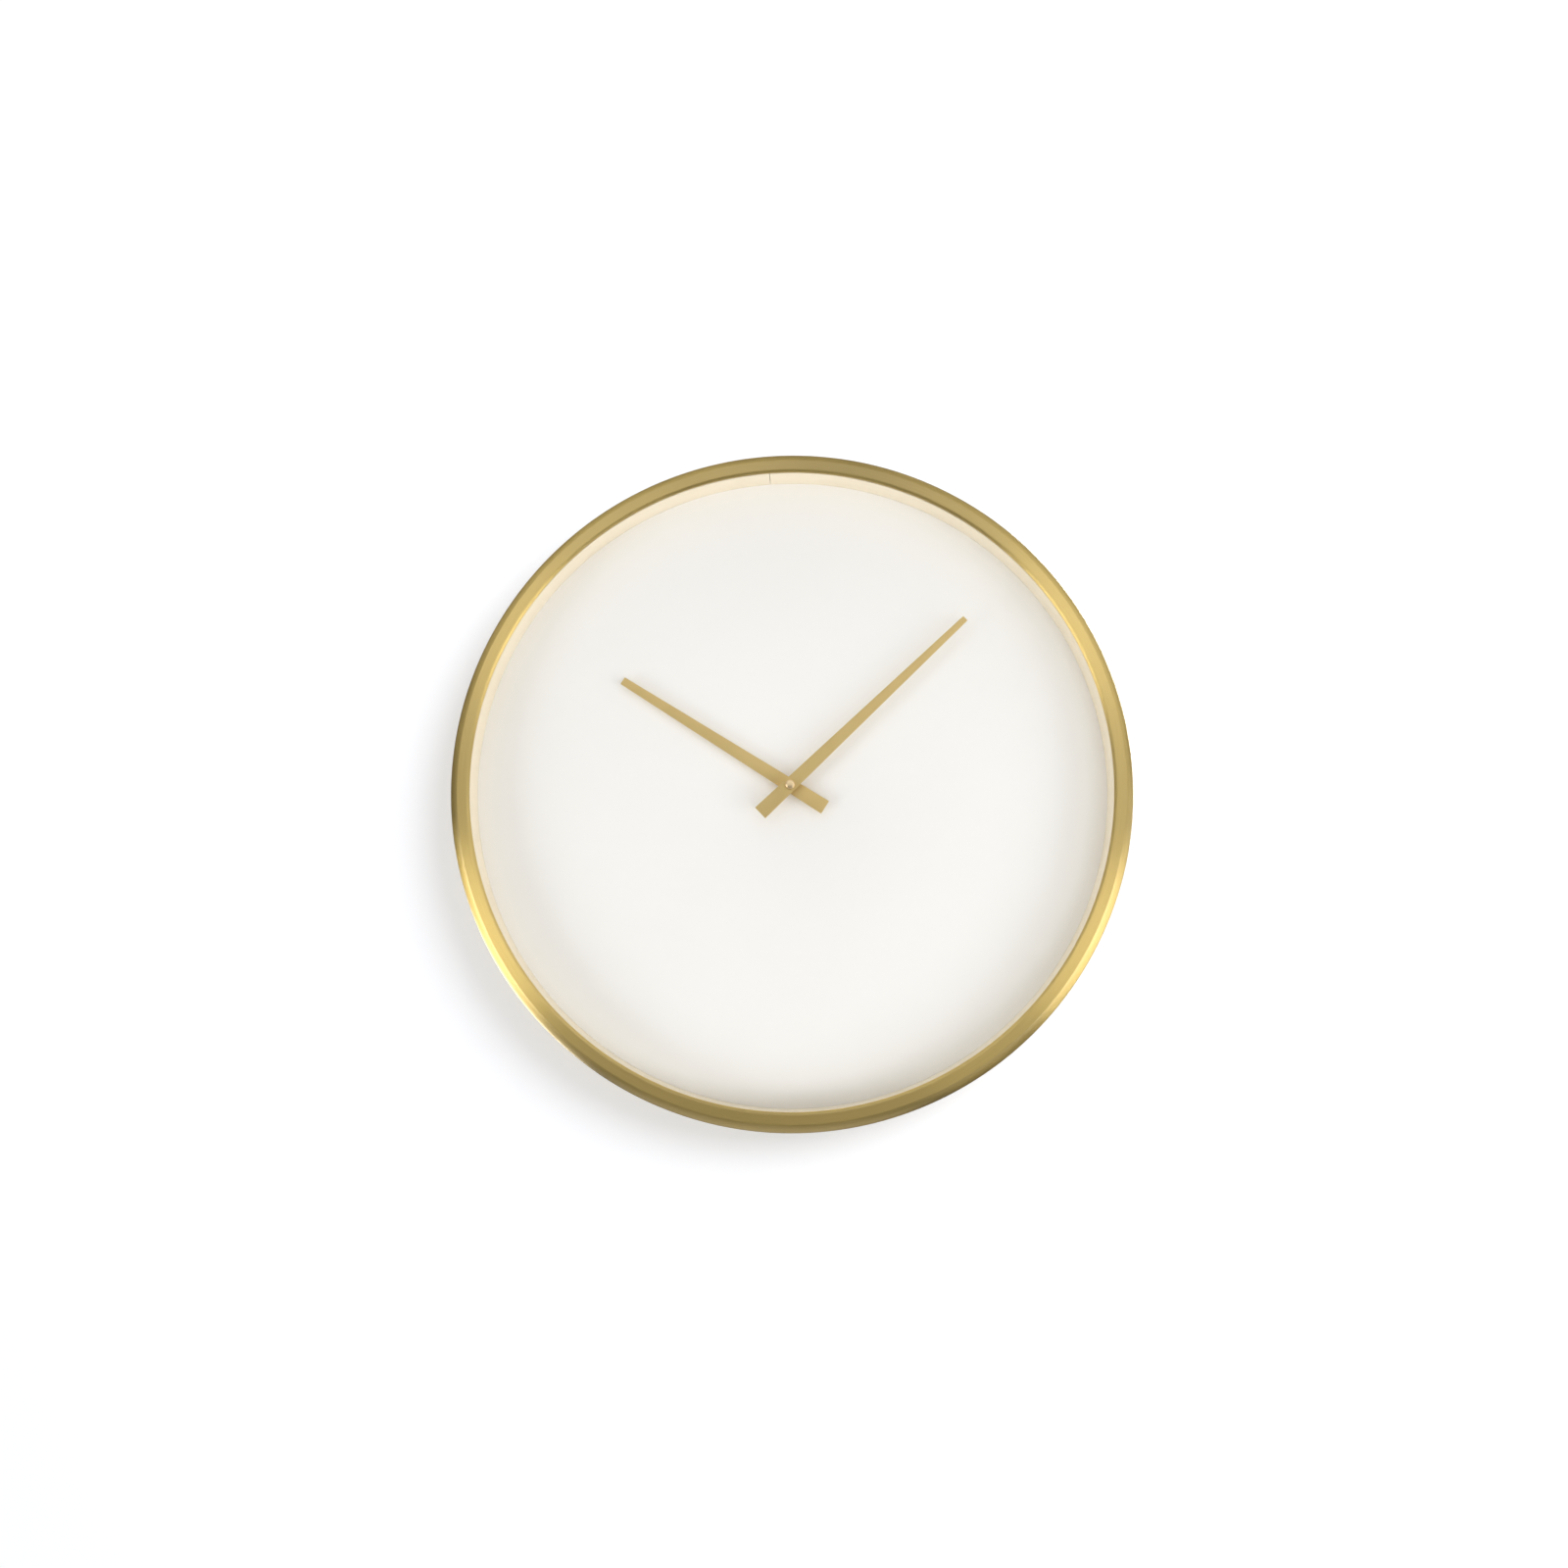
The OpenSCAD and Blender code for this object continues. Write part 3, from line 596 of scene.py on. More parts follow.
def make_rim():
    """One spun sheet: rolled lip, flat face, crease, shoulder, side and the hem at the rear."""
    shoulder_w, shoulder_h = 6.8 * MM, 10 * MM
    shoulder_r = (shoulder_w ** 2 + shoulder_h ** 2) / (2 * shoulder_w)
    centre = (RIM_R - shoulder_r, FRONT - shoulder_h)
    crease = math.degrees(math.asin(shoulder_h / shoulder_r))
    inner = shoulder_r - SHEET
    inner_crease = math.degrees(math.asin((shoulder_h - SHEET) / inner))
    lip, lip_bottom, hem = 2.2 * MM, FRONT - 2.6 * MM, 3.2 * MM
    outer_edge, soft, fine, fold, tight = 0.8 * MM, 0.5 * MM, 0.3 * MM, 0.6 * MM, 0.4 * MM
    corner = Vector((RIM_R - shoulder_w, FRONT))
    softening = corner - Vector((soft * math.tan(math.radians(90 - crease) / 2), soft))
    profile = (
        [Vector((LIP_R, lip_bottom))]
        + arc((LIP_R + lip, FRONT - lip), lip, 180, 90, 12)
        + [Vector((LIP_R + lip + fine, FRONT)), corner - Vector((soft, 0))]
        + arc(softening, soft, 90, crease, 3)
        + arc(centre, shoulder_r, crease - 1, 0, 26)
        + [Vector((RIM_R, FRONT * 0.5))]
        + arc((RIM_R - outer_edge, outer_edge), outer_edge, 0, -90, 6)
        + arc((RIM_R - hem + fine, fine), fine, -90, -180, 3)
        + arc((RIM_R - hem + fine, SHEET - fine), fine, 180, 90, 3)
        + arc((RIM_R - SHEET - fold, SHEET + fold), fold, -90, 0, 4)
        + arc(centre, inner, 0, inner_crease, 16)
        + arc((LIP_R + SHEET + tight, FRONT - SHEET - tight), tight, 90, 180, 3)
        + arc((LIP_R + SHEET - tight, lip_bottom + tight), tight, 0, -90, 3)
    )
    finish_piece(turned("rim_spun", profile, 512), "rim", BRASS_RIM)


def make_gasket():
    back, front = depths("gasket")
    r, width, edge = radius("gasket"), 3.5 * MM, 0.35 * MM
    ring = filleted([(r - width, back, edge), (r, back, edge), (r, front, edge),
                     (r - width, front, edge)], 3)
    finish_piece(turned("gasket_foam", ring, 256), "gasket", FOAM)


def make_glass():
    r = radius("glass")
    ground = 0.35 * MM
    pane = [Vector((0, GLASS_BACK)), Vector((r - ground, GLASS_BACK)),
            Vector((r, GLASS_BACK + ground)), Vector((r, GLASS_FRONT - ground)),
            Vector((r - ground, GLASS_FRONT)), Vector((0, GLASS_FRONT))]
    finish_piece(turned("glass_pane", pane, 256), "glass", GLASS)


def make_strip():
    """The liner: a strip bent to a hoop, whose ends meet just left of twelve."""
    inner = LIP_R + 0.5 * MM
    outer = radius("spacer_strip")
    seam_angle, seam_gap, edge = -3.7, 0.4 * MM, 0.25 * MM
    half = math.degrees(seam_gap / 2 / inner)
    back, front = depths("spacer_strip")
    section = filleted([(inner, back, edge), (outer, back, edge), (outer, front, edge),
                        (inner, front, edge)], 3)
    strip = turned("strip_hoop", section, 512, (seam_angle + half, seam_angle + 360 - half))
    finish_piece(strip, "spacer_strip", LINER)


def make_dial():
    r, hole, edge = radius("dial"), 4.2 * MM, 0.1 * MM
    section = filleted([(hole, DIAL_BACK, edge), (r, DIAL_BACK, edge), (r, DIAL_FRONT, edge),
                        (hole, DIAL_FRONT, edge)], 2)
    finish_piece(turned("dial_sheet", section, 256), "dial", DIAL)


def make_board():
    finish_piece(refined("dial_board", 0.5 * MM), "dial_board", BOARD)


def pan_head(name, head_r, head_h, seat, bite, at, turn):
    """A pan-head screw with a cross recess, seen from behind; seat is the depth under the head."""
    shank, root, rounding = 1.45 * MM, 1.45 * MM * 0.78, 0.75 * MM
    back = seat - head_h
    profile = (
        [Vector((0, back))]
        + arc((head_r - rounding, back + rounding), rounding, -90, 0, 6)
        + [Vector((head_r, seat)), Vector((shank, seat))]
    )
    pitch = 0.9 * MM
    for i in range(int((bite - 1.6 * MM) / pitch)):
        d = seat + 0.4 * MM + i * pitch
        profile += [Vector((root, d)), Vector((shank, d + pitch * 0.45))]
    profile += [Vector((root, seat + bite - 1.1 * MM)), Vector((0, seat + bite))]
    screw = turned(name, profile, 40, centre=at)
    slots = []
    wide, thin = 1.55 * MM, 0.36 * MM
    outline = [(-wide, -thin), (wide, -thin), (wide, thin), (-wide, thin)]
    for quarter in (0, 90):
        place = (Matrix.Translation((at[0], 0, at[1]))
                 @ Matrix.Rotation(math.radians(turn + quarter), 4, "Y"))
        slots.append(slab("slot", outline, back - 1 * MM, back + 0.95 * MM, place=place))
    return carve(screw, *slots)


def clip_angles():
    count = len([n for n in frame["nodes"] if n.startswith("clip_") and n[5:].isdigit()])
    return [360 * (i + 0.5) / count for i in range(count)]


def make_clips():
    """Bent steel strips, screwed to the board, whose risers bear on the rim's rear hem."""
    seat = BOARD_BACK
    half_width, foot, bend, inside, edge = 8 * MM, 18 * MM, 1.3 * MM, 0.5 * MM, 0.3 * MM
    outer = radius("dial_board") + 1 * MM + CLIP_T
    end = SHEET + 0.05 * MM
    profile = filleted([
        (outer - foot, seat, edge), (outer - foot, seat - CLIP_T, edge),
        (outer - CLIP_T, seat - CLIP_T, inside), (outer - CLIP_T, end, edge),
        (outer, end, edge), (outer, seat, bend),
    ], 5)
    for i, a in enumerate(clip_angles()):
        turn = math.radians(-a)
        out = Vector((math.sin(turn), 0, math.cos(turn)))
        side = Vector((math.cos(turn), 0, -math.sin(turn)))

        def place(co, out=out, side=side):
            return out * co.x + side * co.z + Vector((0, -co.y, 0))

        clip = swept(f"clip_strip_{i + 1}", profile, -half_width, half_width, place, edge)
        finish_piece(clip, f"clip_{i + 1}", STEEL)


def make_screws():
    rng = random.Random(11)
    head_r, head_h, bite = 3 * MM, 1.6 * MM, 5.2 * MM
    seat = BOARD_BACK - CLIP_T
    r = radius("dial_board") - 10 * MM
    made = []
    for a in clip_angles():
        turn = math.radians(-a)
        at = (r * math.sin(turn), r * math.cos(turn))
        made.append(pan_head("screw", head_r, head_h, seat, bite, at, rng.uniform(0, 90)))
    finish_piece(joined("clip_screw_set", made), "clip_screws", SCREW_STEEL)
    low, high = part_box("hanger_screws")
    z = (low.z + high.z) / 2
    seat = BOARD_BACK - SHEET
    made = [pan_head("screw", head_r, head_h, seat, bite, (x, z), rng.uniform(0, 90))
            for x in (low.x + head_r, high.x - head_r)]
    finish_piece(joined("hanger_screw_set", made), "hanger_screws", SCREW_STEEL)


def make_hanger():
    """A hat-shaped steel strip with a keyhole in its raised plate."""
    low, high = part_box("hanger_bracket")
    back = -high.y
    foot_x, plate_x = high.x, high.x - 14 * MM
    seat, t = BOARD_BACK, SHEET
    bend, tight, edge = 2.2 * MM, 0.8 * MM, 0.35 * MM
    half = [(foot_x, seat, edge), (foot_x, seat - t, edge), (plate_x, seat - t, tight),
            (plate_x, back, bend)]
    under = [(plate_x - t, back + t, tight), (plate_x - t, seat, bend)]
    outline = half + [(-x, d, r) for x, d, r in reversed(half)]
    outline += [(-x, d, r) for x, d, r in under[::-1]] + under
    profile = filleted(outline, 5)
    bracket = swept("hanger_hat", profile, low.z, high.z,
                    lambda co: Vector((co.x, -co.y, co.z)), 0.3 * MM)
    mount = next(m for m in frame["record"]["mounts"] if m["name"] == "hanger_keyhole")
    z, r = mount["pos_m"][2], mount["dims"]["r_mm"] * MM
    slot, rise = 2.25 * MM, 9 * MM
    meet = math.degrees(math.acos(slot / r))
    keyhole = (arc((0, z), r, 180 - meet, 360 + meet, 36)
               + arc((0, z + rise), slot, 0, 180, 16))
    cutter = slab("keyhole", keyhole, back - 2 * MM, back + 3 * MM)
    hole_r, through, hole_x = 1.7 * MM, 20 * MM, high.x - 7 * MM
    holes = [turned("hole", [(0, 0), (hole_r, 0), (hole_r, through), (0, through)], 32,
                    centre=(x, (low.z + high.z) / 2)) for x in (-hole_x, hole_x)]
    finish_piece(carve(bracket, cutter, *holes), "hanger_bracket", STEEL)


# --- Hands --------------------------------------------------------------------------

def hand_angle(node):
    """Clockwise angle of a hand, from its CAD solid's furthest point."""
    points = [v.co for v in frame["nodes"][node].data.vertices]
    far = max(points, key=lambda c: c.x ** 2 + c.z ** 2)
    across = [c for c in points
              if (Vector((c.x, c.z)) - Vector((far.x, far.z))).length < 8 * MM]
    x = sum(c.x for c in across) / len(across)
    z = sum(c.z for c in across) / len(across)
    return math.degrees(math.atan2(x, z))


def make_hand(node, name, reach, tip):
    """A flat tapered baton with softened edges, at its CAD hand's angle."""
    back, front = depths(node)
    tail, tail_w, edge, corner = 30.5 * MM, 11 * MM, 0.12 * MM, 0.25 * MM
    outline = filleted([
        (-tail_w / 2, -tail, corner), (tail_w / 2, -tail, corner),
        (tip / 2, reach, corner), (-tip / 2, reach, corner)], 3)
    turn = Matrix.Rotation(math.radians(hand_angle(node)), 4, "Y")
    finish_piece(slab(name, outline, back, front, edge, 3, place=turn), node, BRASS_HAND)


def make_collet(node, tube_r):
    """A flange behind the hand, and a thin neck through it."""
    back, front = depths(node)
    flange, neck, edge = tube_r + 1 * MM, tube_r + 0.3 * MM, 0.15 * MM
    step = front - 0.61 * MM
    section = filleted([
        (tube_r, back, edge), (flange, back, edge), (flange, step, edge / 2),
        (neck, step, 0), (neck, front, edge), (tube_r, front, edge)], 3)
    finish_piece(turned(node + "_turned", section, 64), node, BRASS_TURNED)


def make_cap():
    """The closed nut: a low dome on a short straight foot."""
    back, front = depths("hand_cap")
    r = radius("hand_cap")
    bevel, foot, shoulder, steps = 0.15 * MM, back + 1.2 * MM, 0.9 * MM, 14
    dome = [Vector((0, back)), Vector((r - bevel, back)), Vector((r, back + bevel)),
            Vector((r, foot))]
    for i in range(1, steps + 1):
        a = math.pi / 2 * i / steps
        lateral = (r - shoulder) * math.cos(a) ** 0.6 + shoulder * math.cos(a)
        height = (front - foot) * math.sin(a) ** 0.9
        dome.append(Vector((lateral if i < steps else 0.0, foot + height)))
    finish_piece(turned("cap_dome", dome, 96), "hand_cap", BRASS_CAP)


def make_fixing():
    finish_piece(refined("fixing_nut", 0.3 * MM, 3), "fixing_nut", BRASS_TURNED)
    finish_piece(refined("nut_washer", 0.12 * MM), "nut_washer", BRASS_TURNED)
    keep_node("rubber_washer", RUBBER)
    back, front = depths("threaded_bush")
    outer, inner, pitch = 3.9 * MM, 2.6 * MM, 0.75 * MM
    profile = [Vector((inner, back)), Vector((outer, back)), Vector((outer, HOUSING_FRONT))]
    turns = int((front - HOUSING_FRONT - 0.4 * MM) / pitch)
    for i in range(turns):
        d = HOUSING_FRONT + 0.2 * MM + i * pitch
        profile += [Vector((outer, d)), Vector((outer - 0.35 * MM, d + pitch / 2))]
    profile += [Vector((outer - 0.2 * MM, front)), Vector((inner, front))]
    finish_piece(turned("bush_thread", profile, 96), "threaded_bush", BRASS_TURNED)


# --- Movement -----------------------------------------------------------------------

def mark(name, outline):
    """A flat mark that stands a little out of the rear cover."""
    return slab(name, outline, HOUSING_BACK - PROUD, HOUSING_BACK + SUNK)


def curved_arrow(centre, r, start, end):
    """A curved arrow that points towards end."""
    width, head, steps = 0.45 * MM, 1.5 * MM, 14
    outer = arc(centre, r + width, start, end, steps)
    inner = arc(centre, r - width, start, end, steps)
    way = 1 if end > start else -1
    tip = Vector(centre) + polar(r, end + way * math.degrees(head * 1.4 / r))
    outline = outer + [Vector(centre) + polar(r + head * 0.75, end), tip,
                       Vector(centre) + polar(r - head * 0.75, end)] + inner[::-1]
    return mark("arrow", outline)


def make_housing():
    """The movement's shell, with what is moulded into its cover and what is printed on it."""
    finish_piece(refined("movement_housing", 0.35 * MM), "movement_housing", BLACK)
    finish_piece(refined("rear_cover", 0.25 * MM), "rear_cover", BLACK)
    keep_node("middle_plate", NATURAL)
    low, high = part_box("rear_cover")
    knob_low, knob_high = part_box("setting_knob")
    knob = ((knob_low.x + knob_high.x) / 2, (knob_low.z + knob_high.z) / 2)
    arrows = [curved_arrow(knob, 7.0 * MM, start, end) for start, end in ((80, 12), (100, 168))]
    back, deep = HOUSING_BACK, HOUSING_BACK + SUNK
    ring_in, ring_out, soft = 5.5 * MM, 5.9 * MM, 0.05 * MM
    ring = filleted([(ring_in, back - PROUD, soft), (ring_out, back - PROUD, soft),
                     (ring_out, deep, 0), (ring_in, deep, 0)], 2)
    panels = [turned("ring", ring, 64, centre=knob)]
    pin_r, inset, flush = 1.4 * MM, 4 * MM, back - 0.06 * MM
    pin = [(0, flush), (pin_r, flush), (pin_r + SUNK, deep), (0, deep)]
    for x in (low.x + inset, high.x - inset):
        for z in (low.z + inset, high.z - inset):
            panels.append(turned("pin_mark", pin, 32, centre=(x, z)))
    left, right, corner = -9 * MM, high.x - 7 * MM, 1 * MM
    bottom, top = high.z - 13 * MM, high.z - 5 * MM
    panel = filleted([(left, bottom, corner), (right, bottom, corner), (right, top, corner),
                      (left, top, corner)], 4)
    panels.append(slab("panel", panel, back - SUNK, deep, soft))
    add_detail(joined("cover_panel", panels), "rear_cover", GLOSS)
    add_detail(joined("setting_marks", arrows), "rear_cover", PRINT)
    cell_low, cell_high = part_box("battery")
    long, thin, from_end, z = 2.2 * MM, 0.5 * MM, 8 * MM, cell_high.z + 3.4 * MM
    signs = []
    for x, bars in ((cell_high.x - from_end, ((long, thin), (thin, long))),
                    (cell_low.x + from_end, ((long, thin),))):
        for w, h in bars:
            signs.append(mark("sign", [(x - w / 2, z - h / 2), (x + w / 2, z - h / 2),
                                       (x + w / 2, z + h / 2), (x - w / 2, z + h / 2)]))
    add_detail(joined("polarity_marks", signs), "rear_cover", PRINT)


def make_knob():
    finish_piece(refined("setting_knob", 0.2 * MM), "setting_knob", BLACK_KNOB)


def make_battery():
    """The cell: a printed sleeve over a steel can with a nub at its positive end."""
    low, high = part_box("battery")
    r = (high.z - low.z) / 2
    centre_z, centre_d = (low.z + high.z) / 2, -(low.y + high.y) / 2
    nub_h, nub_r, nub_edge, edge = 1.1 * MM, 2.7 * MM, 0.35 * MM, 0.8 * MM
    body = high.x - nub_h

    def lathe_x(name, profile):
        """Turns (radius, x) points about the cell's own axis."""
        piece = turned(name, profile, 96)
        to_x = Matrix(((0, -1, 0, 0), (-1, 0, 0, -centre_d), (0, 0, 1, centre_z), (0, 0, 0, 1)))
        piece.data.transform(to_x)
        piece.data.flip_normals()
        return piece

    sleeve = lathe_x("battery_sleeve_tube", (
        [Vector((r - 2.0 * MM, low.x + 0.25 * MM)), Vector((r - 2.0 * MM, low.x + 0.1 * MM))]
        + arc((r - edge, low.x + 0.05 * MM + edge), edge, -90, 0, 8)
        + arc((r - edge, body - edge), edge, 0, 90, 8)
        + [Vector((r - 2.4 * MM, body)), Vector((r - 2.4 * MM, body - 0.2 * MM))]))
    finish_piece(sleeve, "battery", SLEEVE)
    ends = lathe_x("battery_ends", [
        (0, low.x), (r - 2.6 * MM, low.x), (r - 2.1 * MM, low.x + 0.15 * MM),
        (r - 1.8 * MM, low.x + 0.3 * MM), (r - 1.8 * MM, body - 0.35 * MM),
        (r - 2.4 * MM, body - 0.25 * MM), (nub_r + 0.5 * MM, body - 0.1 * MM),
        (nub_r, body), (nub_r, high.x - nub_edge), (nub_r - nub_edge, high.x), (0, high.x)])
    add_detail(ends, "battery", STEEL)


def tube_along(name, points, r):
    """A round wire along a list of points."""
    curve = bpy.data.curves.new(name, "CURVE")
    curve.dimensions = "3D"
    curve.bevel_depth = r
    curve.bevel_resolution = 2
    curve.use_fill_caps = True
    line = curve.splines.new("POLY")
    line.points.add(len(points) - 1)
    for p, co in zip(line.points, points):
        p.co = (*co, 1.0)
    obj = bpy.data.objects.new(name, curve)
    bpy.context.scene.collection.objects.link(obj)
    data = final_mesh(obj)
    bpy.data.objects.remove(obj)
    return to_object(name, data)


def make_contacts():
    """The cell's two contacts: a coil spring on a plate, and a plate with a pressed button."""
    low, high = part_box("contact_negative")
    battery_low, battery_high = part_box("battery")
    z, y = (battery_low.z + battery_high.z) / 2, (battery_low.y + battery_high.y) / 2
    plate_t, edge = 0.4 * MM, 0.08 * MM
    half, corner = 5 * MM, 1 * MM
    near, width, leg_corner = -4.2 * MM, 3 * MM, 0.4 * MM

    def plate(name, x):
        outline = filleted([(-half, -half, corner), (half, -half, corner), (half, half, corner),
                            (-half, half, corner)], 4)
        return swept(name, outline, x, x + plate_t,
                     lambda co: Vector((co.z, y + co.x, z + co.y)), edge)

    def leg(name, x, top):
        outline = filleted([(near - width, z, leg_corner), (near, z, leg_corner),
                            (near, top, leg_corner), (near - width, top, leg_corner)], 3)
        return swept(name, outline, x, x + plate_t, lambda co: Vector((co.z, co.x, co.y)), edge)

    turns, steps, wire = 2.6, 96, 0.28 * MM
    start, end = low.x + plate_t + 0.3 * MM, battery_low.x - 0.3 * MM
    coil = []
    for i in range(steps + 1):
        t = i / steps
        r = (4.3 - 1.6 * t) * MM
        a = 2 * math.pi * turns * t
        coil.append((start + (end - start) * t, y + r * math.cos(a), z + r * math.sin(a)))
    pieces = [plate("plate", low.x), leg("leg", low.x, high.z), tube_along("spring", coil, wire)]
    finish_piece(joined("negative_spring", pieces), "contact_negative", STEEL)
    low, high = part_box("contact_positive")
    x = high.x - plate_t
    button_h = x - battery_high.x
    button = turned("button", [(0, 0), (2.0 * MM, 0), (1.6 * MM, 0.5 * MM), (1.1 * MM, button_h),
                               (0, button_h)], 32)
    button.data.transform(Matrix(((0, 1, 0, x), (1, 0, 0, y), (0, 0, 1, z), (0, 0, 0, 1))))
    pieces = [plate("plate", x), leg("leg", x, high.z), button]
    finish_piece(joined("positive_plate", pieces), "contact_positive", STEEL)


def keep_inner_nodes():
    """Wheels and motor parts that the closed housing hides keep their exact CAD shapes."""
    for node in ("hour_wheel", "minute_wheel", "second_wheel", "third_wheel", "fifth_wheel",
                 "rotor_pinion", "coil_bobbin"):
        keep_node(node, NATURAL)
    for node in ("minute_tube", "centre_wheel"):
        keep_node(node, BRASS_TURNED)
    for node in ("stator", "coil_core"):
        keep_node(node, IRON)
    keep_node("rotor_magnet", MAGNET)
    keep_node("coil_winding", COPPER)
    keep_node("circuit_board", GREEN)
    keep_node("timing_chip", BLACK)
    keep_node("quartz_crystal", STEEL)


make_rim()
make_gasket()
make_glass()
make_strip()
make_dial()
make_board()
make_clips()
make_screws()
make_hanger()
make_hand("minute_hand", "minute_baton", 181 * MM, 4.6 * MM)
make_hand("hour_hand", "hour_baton", 149.5 * MM, 6 * MM)
make_collet("hour_collet", 2.5 * MM)
make_collet("minute_collet", 1.75 * MM)
make_cap()
make_fixing()
make_housing()
make_knob()
make_battery()
make_contacts()
keep_inner_nodes()


# --- Stage, camera and light --------------------------------------------------------

def wall_paint_and_glow():
    """Bright white paint plus a painted glow: the wall emits light, weakest near the clock and
    strongest far from the lamps, to even out their falloff; its rear side lets the view through.
    """
    s = Surface("wall_paint_and_glow", (0.60, 0.62, 0.665), 0.9)
    s.set(s.shader, "Emission Color", (0.98, 0.985, 1.0, 1.0))
    far = s.node("VectorMath", {0: s.place}, operation="LENGTH").outputs["Value"]
    # painted glow: emission from 0.42 within 0.9 m of the clock up to 0.86 beyond 3.4 m, which also
    # lightens the clock's shadow on the wall
    s.set(s.shader, "Emission Strength", s.remap(far, 0.42, 0.86, 0.9, 3.4))
    clear = s.node("BsdfTransparent")
    side = s.node("NewGeometry").outputs["Backfacing"]
    mix = s.node("MixShader", {0: side, 1: s.shader.outputs[0], 2: clear.outputs[0]})
    s.set(s.tree.nodes["Material Output"], "Surface", mix.outputs[0])
    return s.material


def plane(name, corners, material):
    data = bpy.data.meshes.new(name)
    data.from_pydata(corners, [], [(0, 1, 2, 3)])
    obj = bpy.data.objects.new(name, data)
    bpy.context.scene.collection.objects.link(obj)
    data.materials.append(material)
    obj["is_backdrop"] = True
    return obj


WALL_GAP = 0.2 * MM
wide, high = 14.0, 6.0
wall = plane("wall", [(-wide, WALL_GAP, -high), (wide, WALL_GAP, -high), (wide, WALL_GAP, high),
                      (-wide, WALL_GAP, high)], wall_paint_and_glow())
wall.visible_shadow = False
wall.visible_glossy = False


def aim(obj, target):
    obj.rotation_mode = "QUATERNION"
    obj.rotation_quaternion = (Vector(target) - obj.location).to_track_quat("-Z", "Y")


def make_camera():
    """A 30 mm view from just below the clock's middle and a little to its right."""
    distance, azimuth, elevation = 0.95, math.radians(1.3), math.radians(-7.5)
    face = Vector((0, -FRONT, 0))
    data = bpy.data.cameras.new("camera")
    data.sensor_width = 36.0
    data.lens = 30.04
    cam = bpy.data.objects.new("camera", data)
    bpy.context.scene.collection.objects.link(cam)
    cam.location = face + distance * Vector((
        math.sin(azimuth) * math.cos(elevation), -math.cos(azimuth) * math.cos(elevation),
        math.sin(elevation)))
    aim(cam, face + Vector((-0.0041, 0, -0.0016)))
    bpy.context.scene.camera = cam
    return cam


def softbox(name, clockwise, off_normal, spread, power, distance=2.0, only=None):
    """A round soft light off the face's normal; spread is its angular radius in degrees.

    The camera can't see it, and only limits which objects it lights.
    """
    data = bpy.data.lights.new(name, "AREA")
    data.shape = "DISK"
    data.size = 2 * distance * math.tan(math.radians(spread))
    data.energy = power
    light = bpy.data.objects.new(name, data)
    bpy.context.scene.collection.objects.link(light)
    side = math.sin(math.radians(off_normal))
    light.location = (distance * side * math.sin(math.radians(clockwise)),
                      -FRONT - distance * math.cos(math.radians(off_normal)),
                      distance * side * math.cos(math.radians(clockwise)))
    aim(light, (0, -FRONT, 0))
    light.visible_camera = False
    if only is not None:
        light.light_linking.receiver_collection = only
    return light


def collection(name, objects):
    made = bpy.data.collections.new(name)
    for obj in objects:
        made.objects.link(obj)
    return made


def background(nodes, links, colour, strength):
    made = nodes.new("ShaderNodeBackground")
    made.inputs["Strength"].default_value = strength
    if isinstance(colour, tuple):
        made.inputs["Color"].default_value = (*colour, 1.0)
    else:
        links.new(colour, made.inputs["Color"])
    return made.outputs[0]


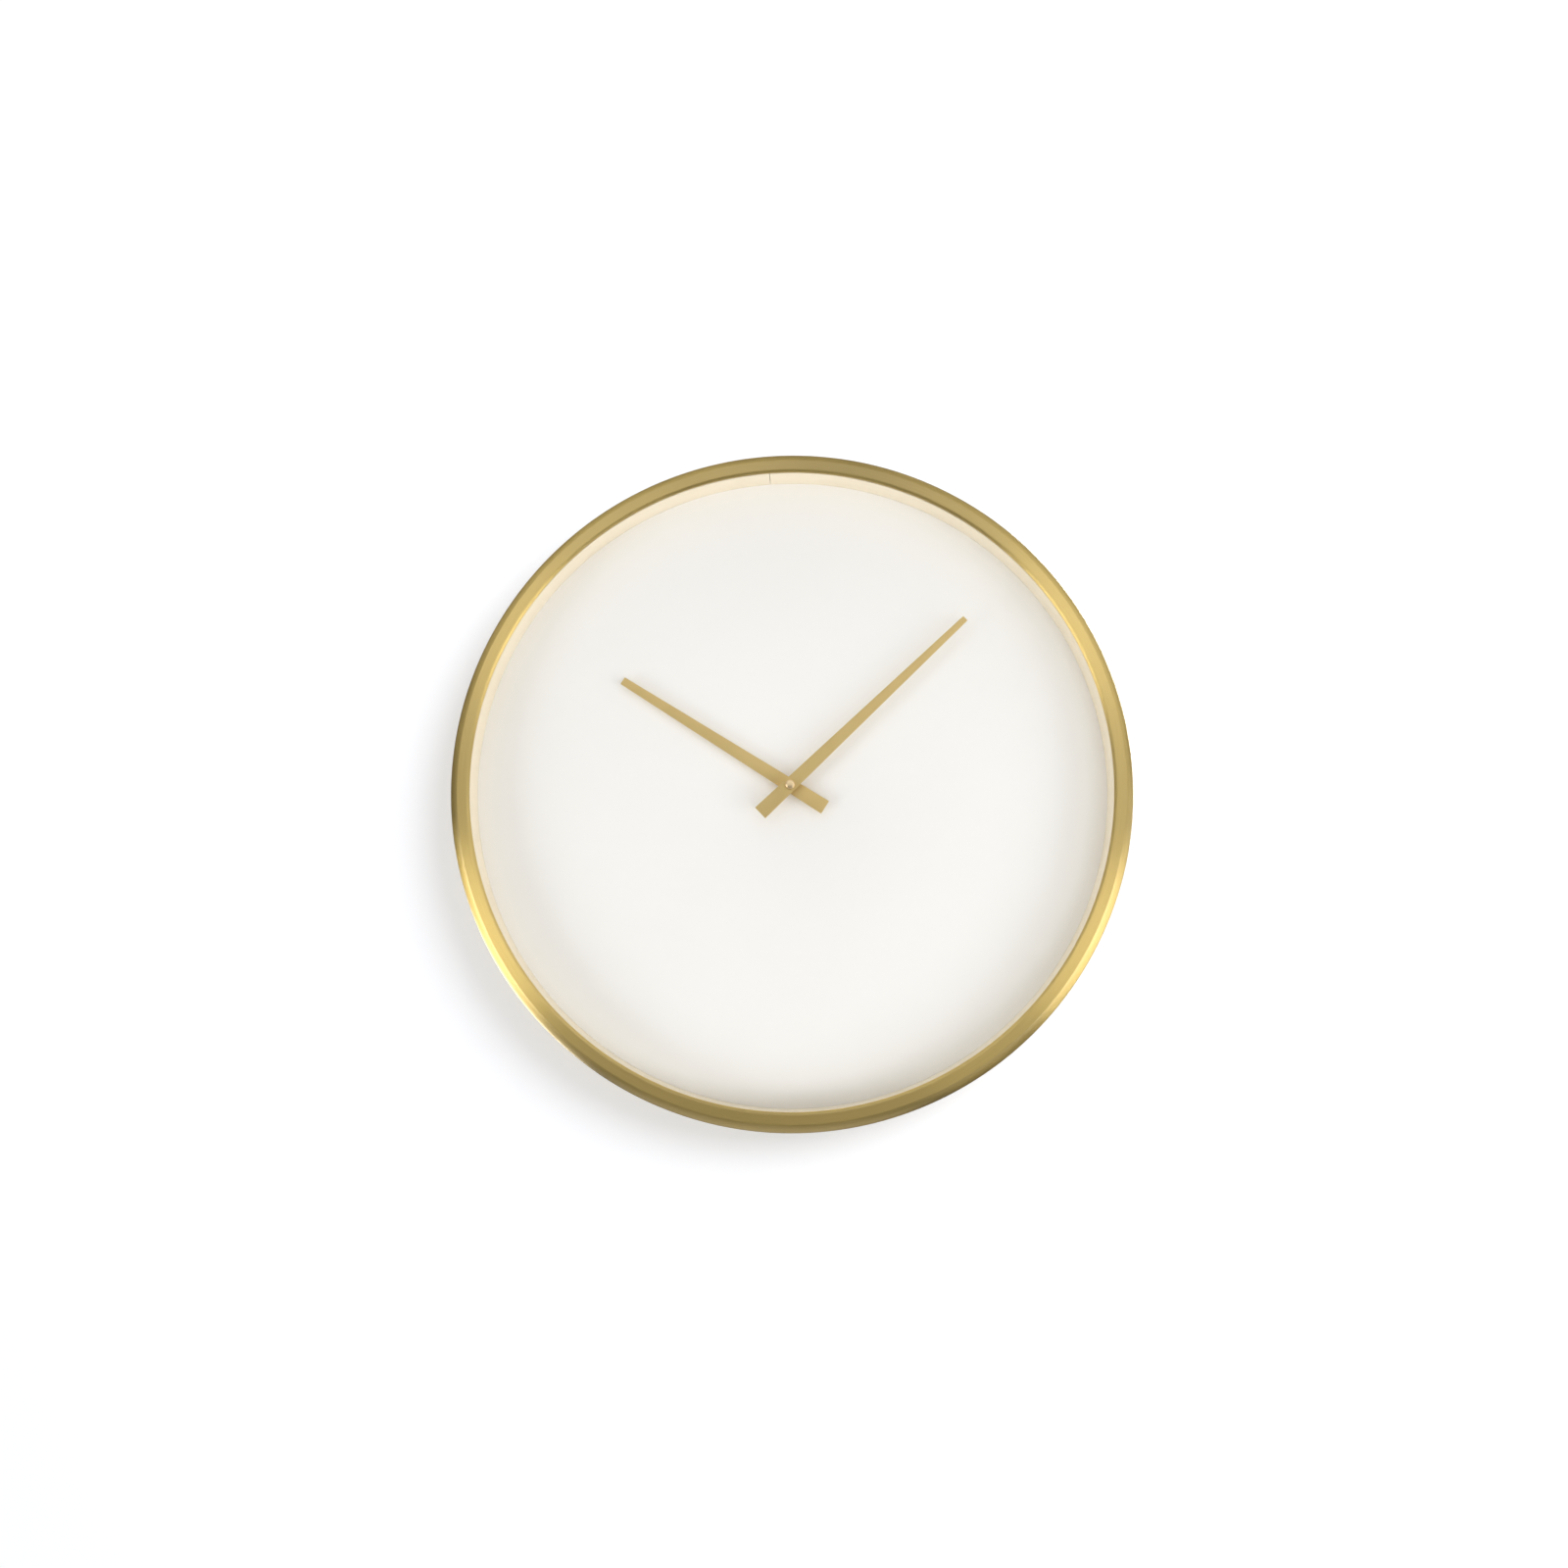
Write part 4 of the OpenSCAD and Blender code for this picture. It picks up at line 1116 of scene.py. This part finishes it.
def make_world(fill, mirrored):
    """White to the camera; fill lights matt surfaces, and mirrored is what metal reflects."""
    world = bpy.data.worlds.new("studio")
    bpy.context.scene.world = world
    world.use_nodes = True
    nodes, links = world.node_tree.nodes, world.node_tree.links
    nodes.clear()
    out = nodes.new("ShaderNodeOutputWorld")
    path = nodes.new("ShaderNodeLightPath")
    split = nodes.new("ShaderNodeSeparateXYZ")
    links.new(nodes.new("ShaderNodeTexCoord").outputs["Generated"], split.inputs[0])
    level = None
    for axis, low, high, start, stop in (("Z", 0.06, 1.0, -0.18, 0.45), ("Z", 1.0, 0.35, 0.5, 0.9),
                                         ("X", 0.14, 1.0, -0.9, -0.15),
                                         ("Y", 1.0, 0.25, -0.45, 0.35)):
        made = nodes.new("ShaderNodeMapRange")
        for socket, value in (("From Min", start), ("From Max", stop), ("To Min", low),
                              ("To Max", high)):
            made.inputs[socket].default_value = value
        links.new(split.outputs[axis], made.inputs["Value"])
        if level is None:
            level = made.outputs[0]
            continue
        both = nodes.new("ShaderNodeMath")
        both.operation = "MULTIPLY"
        links.new(level, both.inputs[0])
        links.new(made.outputs[0], both.inputs[1])
        level = both.outputs[0]
    matt = nodes.new("ShaderNodeMixShader")
    links.new(path.outputs["Is Glossy Ray"], matt.inputs[0])
    links.new(background(nodes, links, (1.0, 0.975, 0.93), fill), matt.inputs[1])
    links.new(background(nodes, links, level, mirrored), matt.inputs[2])
    seen = nodes.new("ShaderNodeMixShader")
    links.new(path.outputs["Is Camera Ray"], seen.inputs[0])
    links.new(matt.outputs[0], seen.inputs[1])
    links.new(background(nodes, links, (1, 1, 1), 1.0), seen.inputs[2])
    links.new(seen.outputs[0], out.inputs["Surface"])


make_camera()
clock = [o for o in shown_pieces() if o.name != "glass_pane"]
inner = [o for o in clock if o.name in ("dial_sheet", "strip_hoop")]
clock_only = collection("clock_only", clock)
inner_only = collection("inner_only", inner)
metal_only = collection("metal_only", [o for o in clock if o not in inner])
wall_only = collection("wall_only", [wall])
make_world(0.62, 0.67)
softbox("front_right", 50, 33, 22, 6.4, only=metal_only)
softbox("front_left", 326, 33, 20, 5.2, only=metal_only)
softbox("side_right", 112, 62, 15, 12, only=clock_only)
softbox("side_left", 250, 62, 15, 14.5, only=metal_only)
softbox("low_right", 140, 60, 13, 2, only=metal_only)
softbox("edge_right", 106, 98, 24, 6.5, only=clock_only)
softbox("edge_left", 236, 98, 17, 4.5, only=clock_only)
softbox("edge_below", 187, 100, 32, 9, only=clock_only)
softbox("dial_key", 136, 31, 15, 14.9, 3.0, only=inner_only)
softbox("dial_front", 345, 12, 42, 9.2, only=inner_only)
softbox("dial_left", 246, 62, 12, 9, only=inner_only)
softbox("wall_wash", 60, 43, 17, 120, 4.0, only=wall_only)
softbox("back_left", 60, 145, 16, 26, only=clock_only)
softbox("back_right", 240, 130, 14, 9, only=clock_only)

scene = bpy.context.scene
scene.view_settings.view_transform = "Standard"
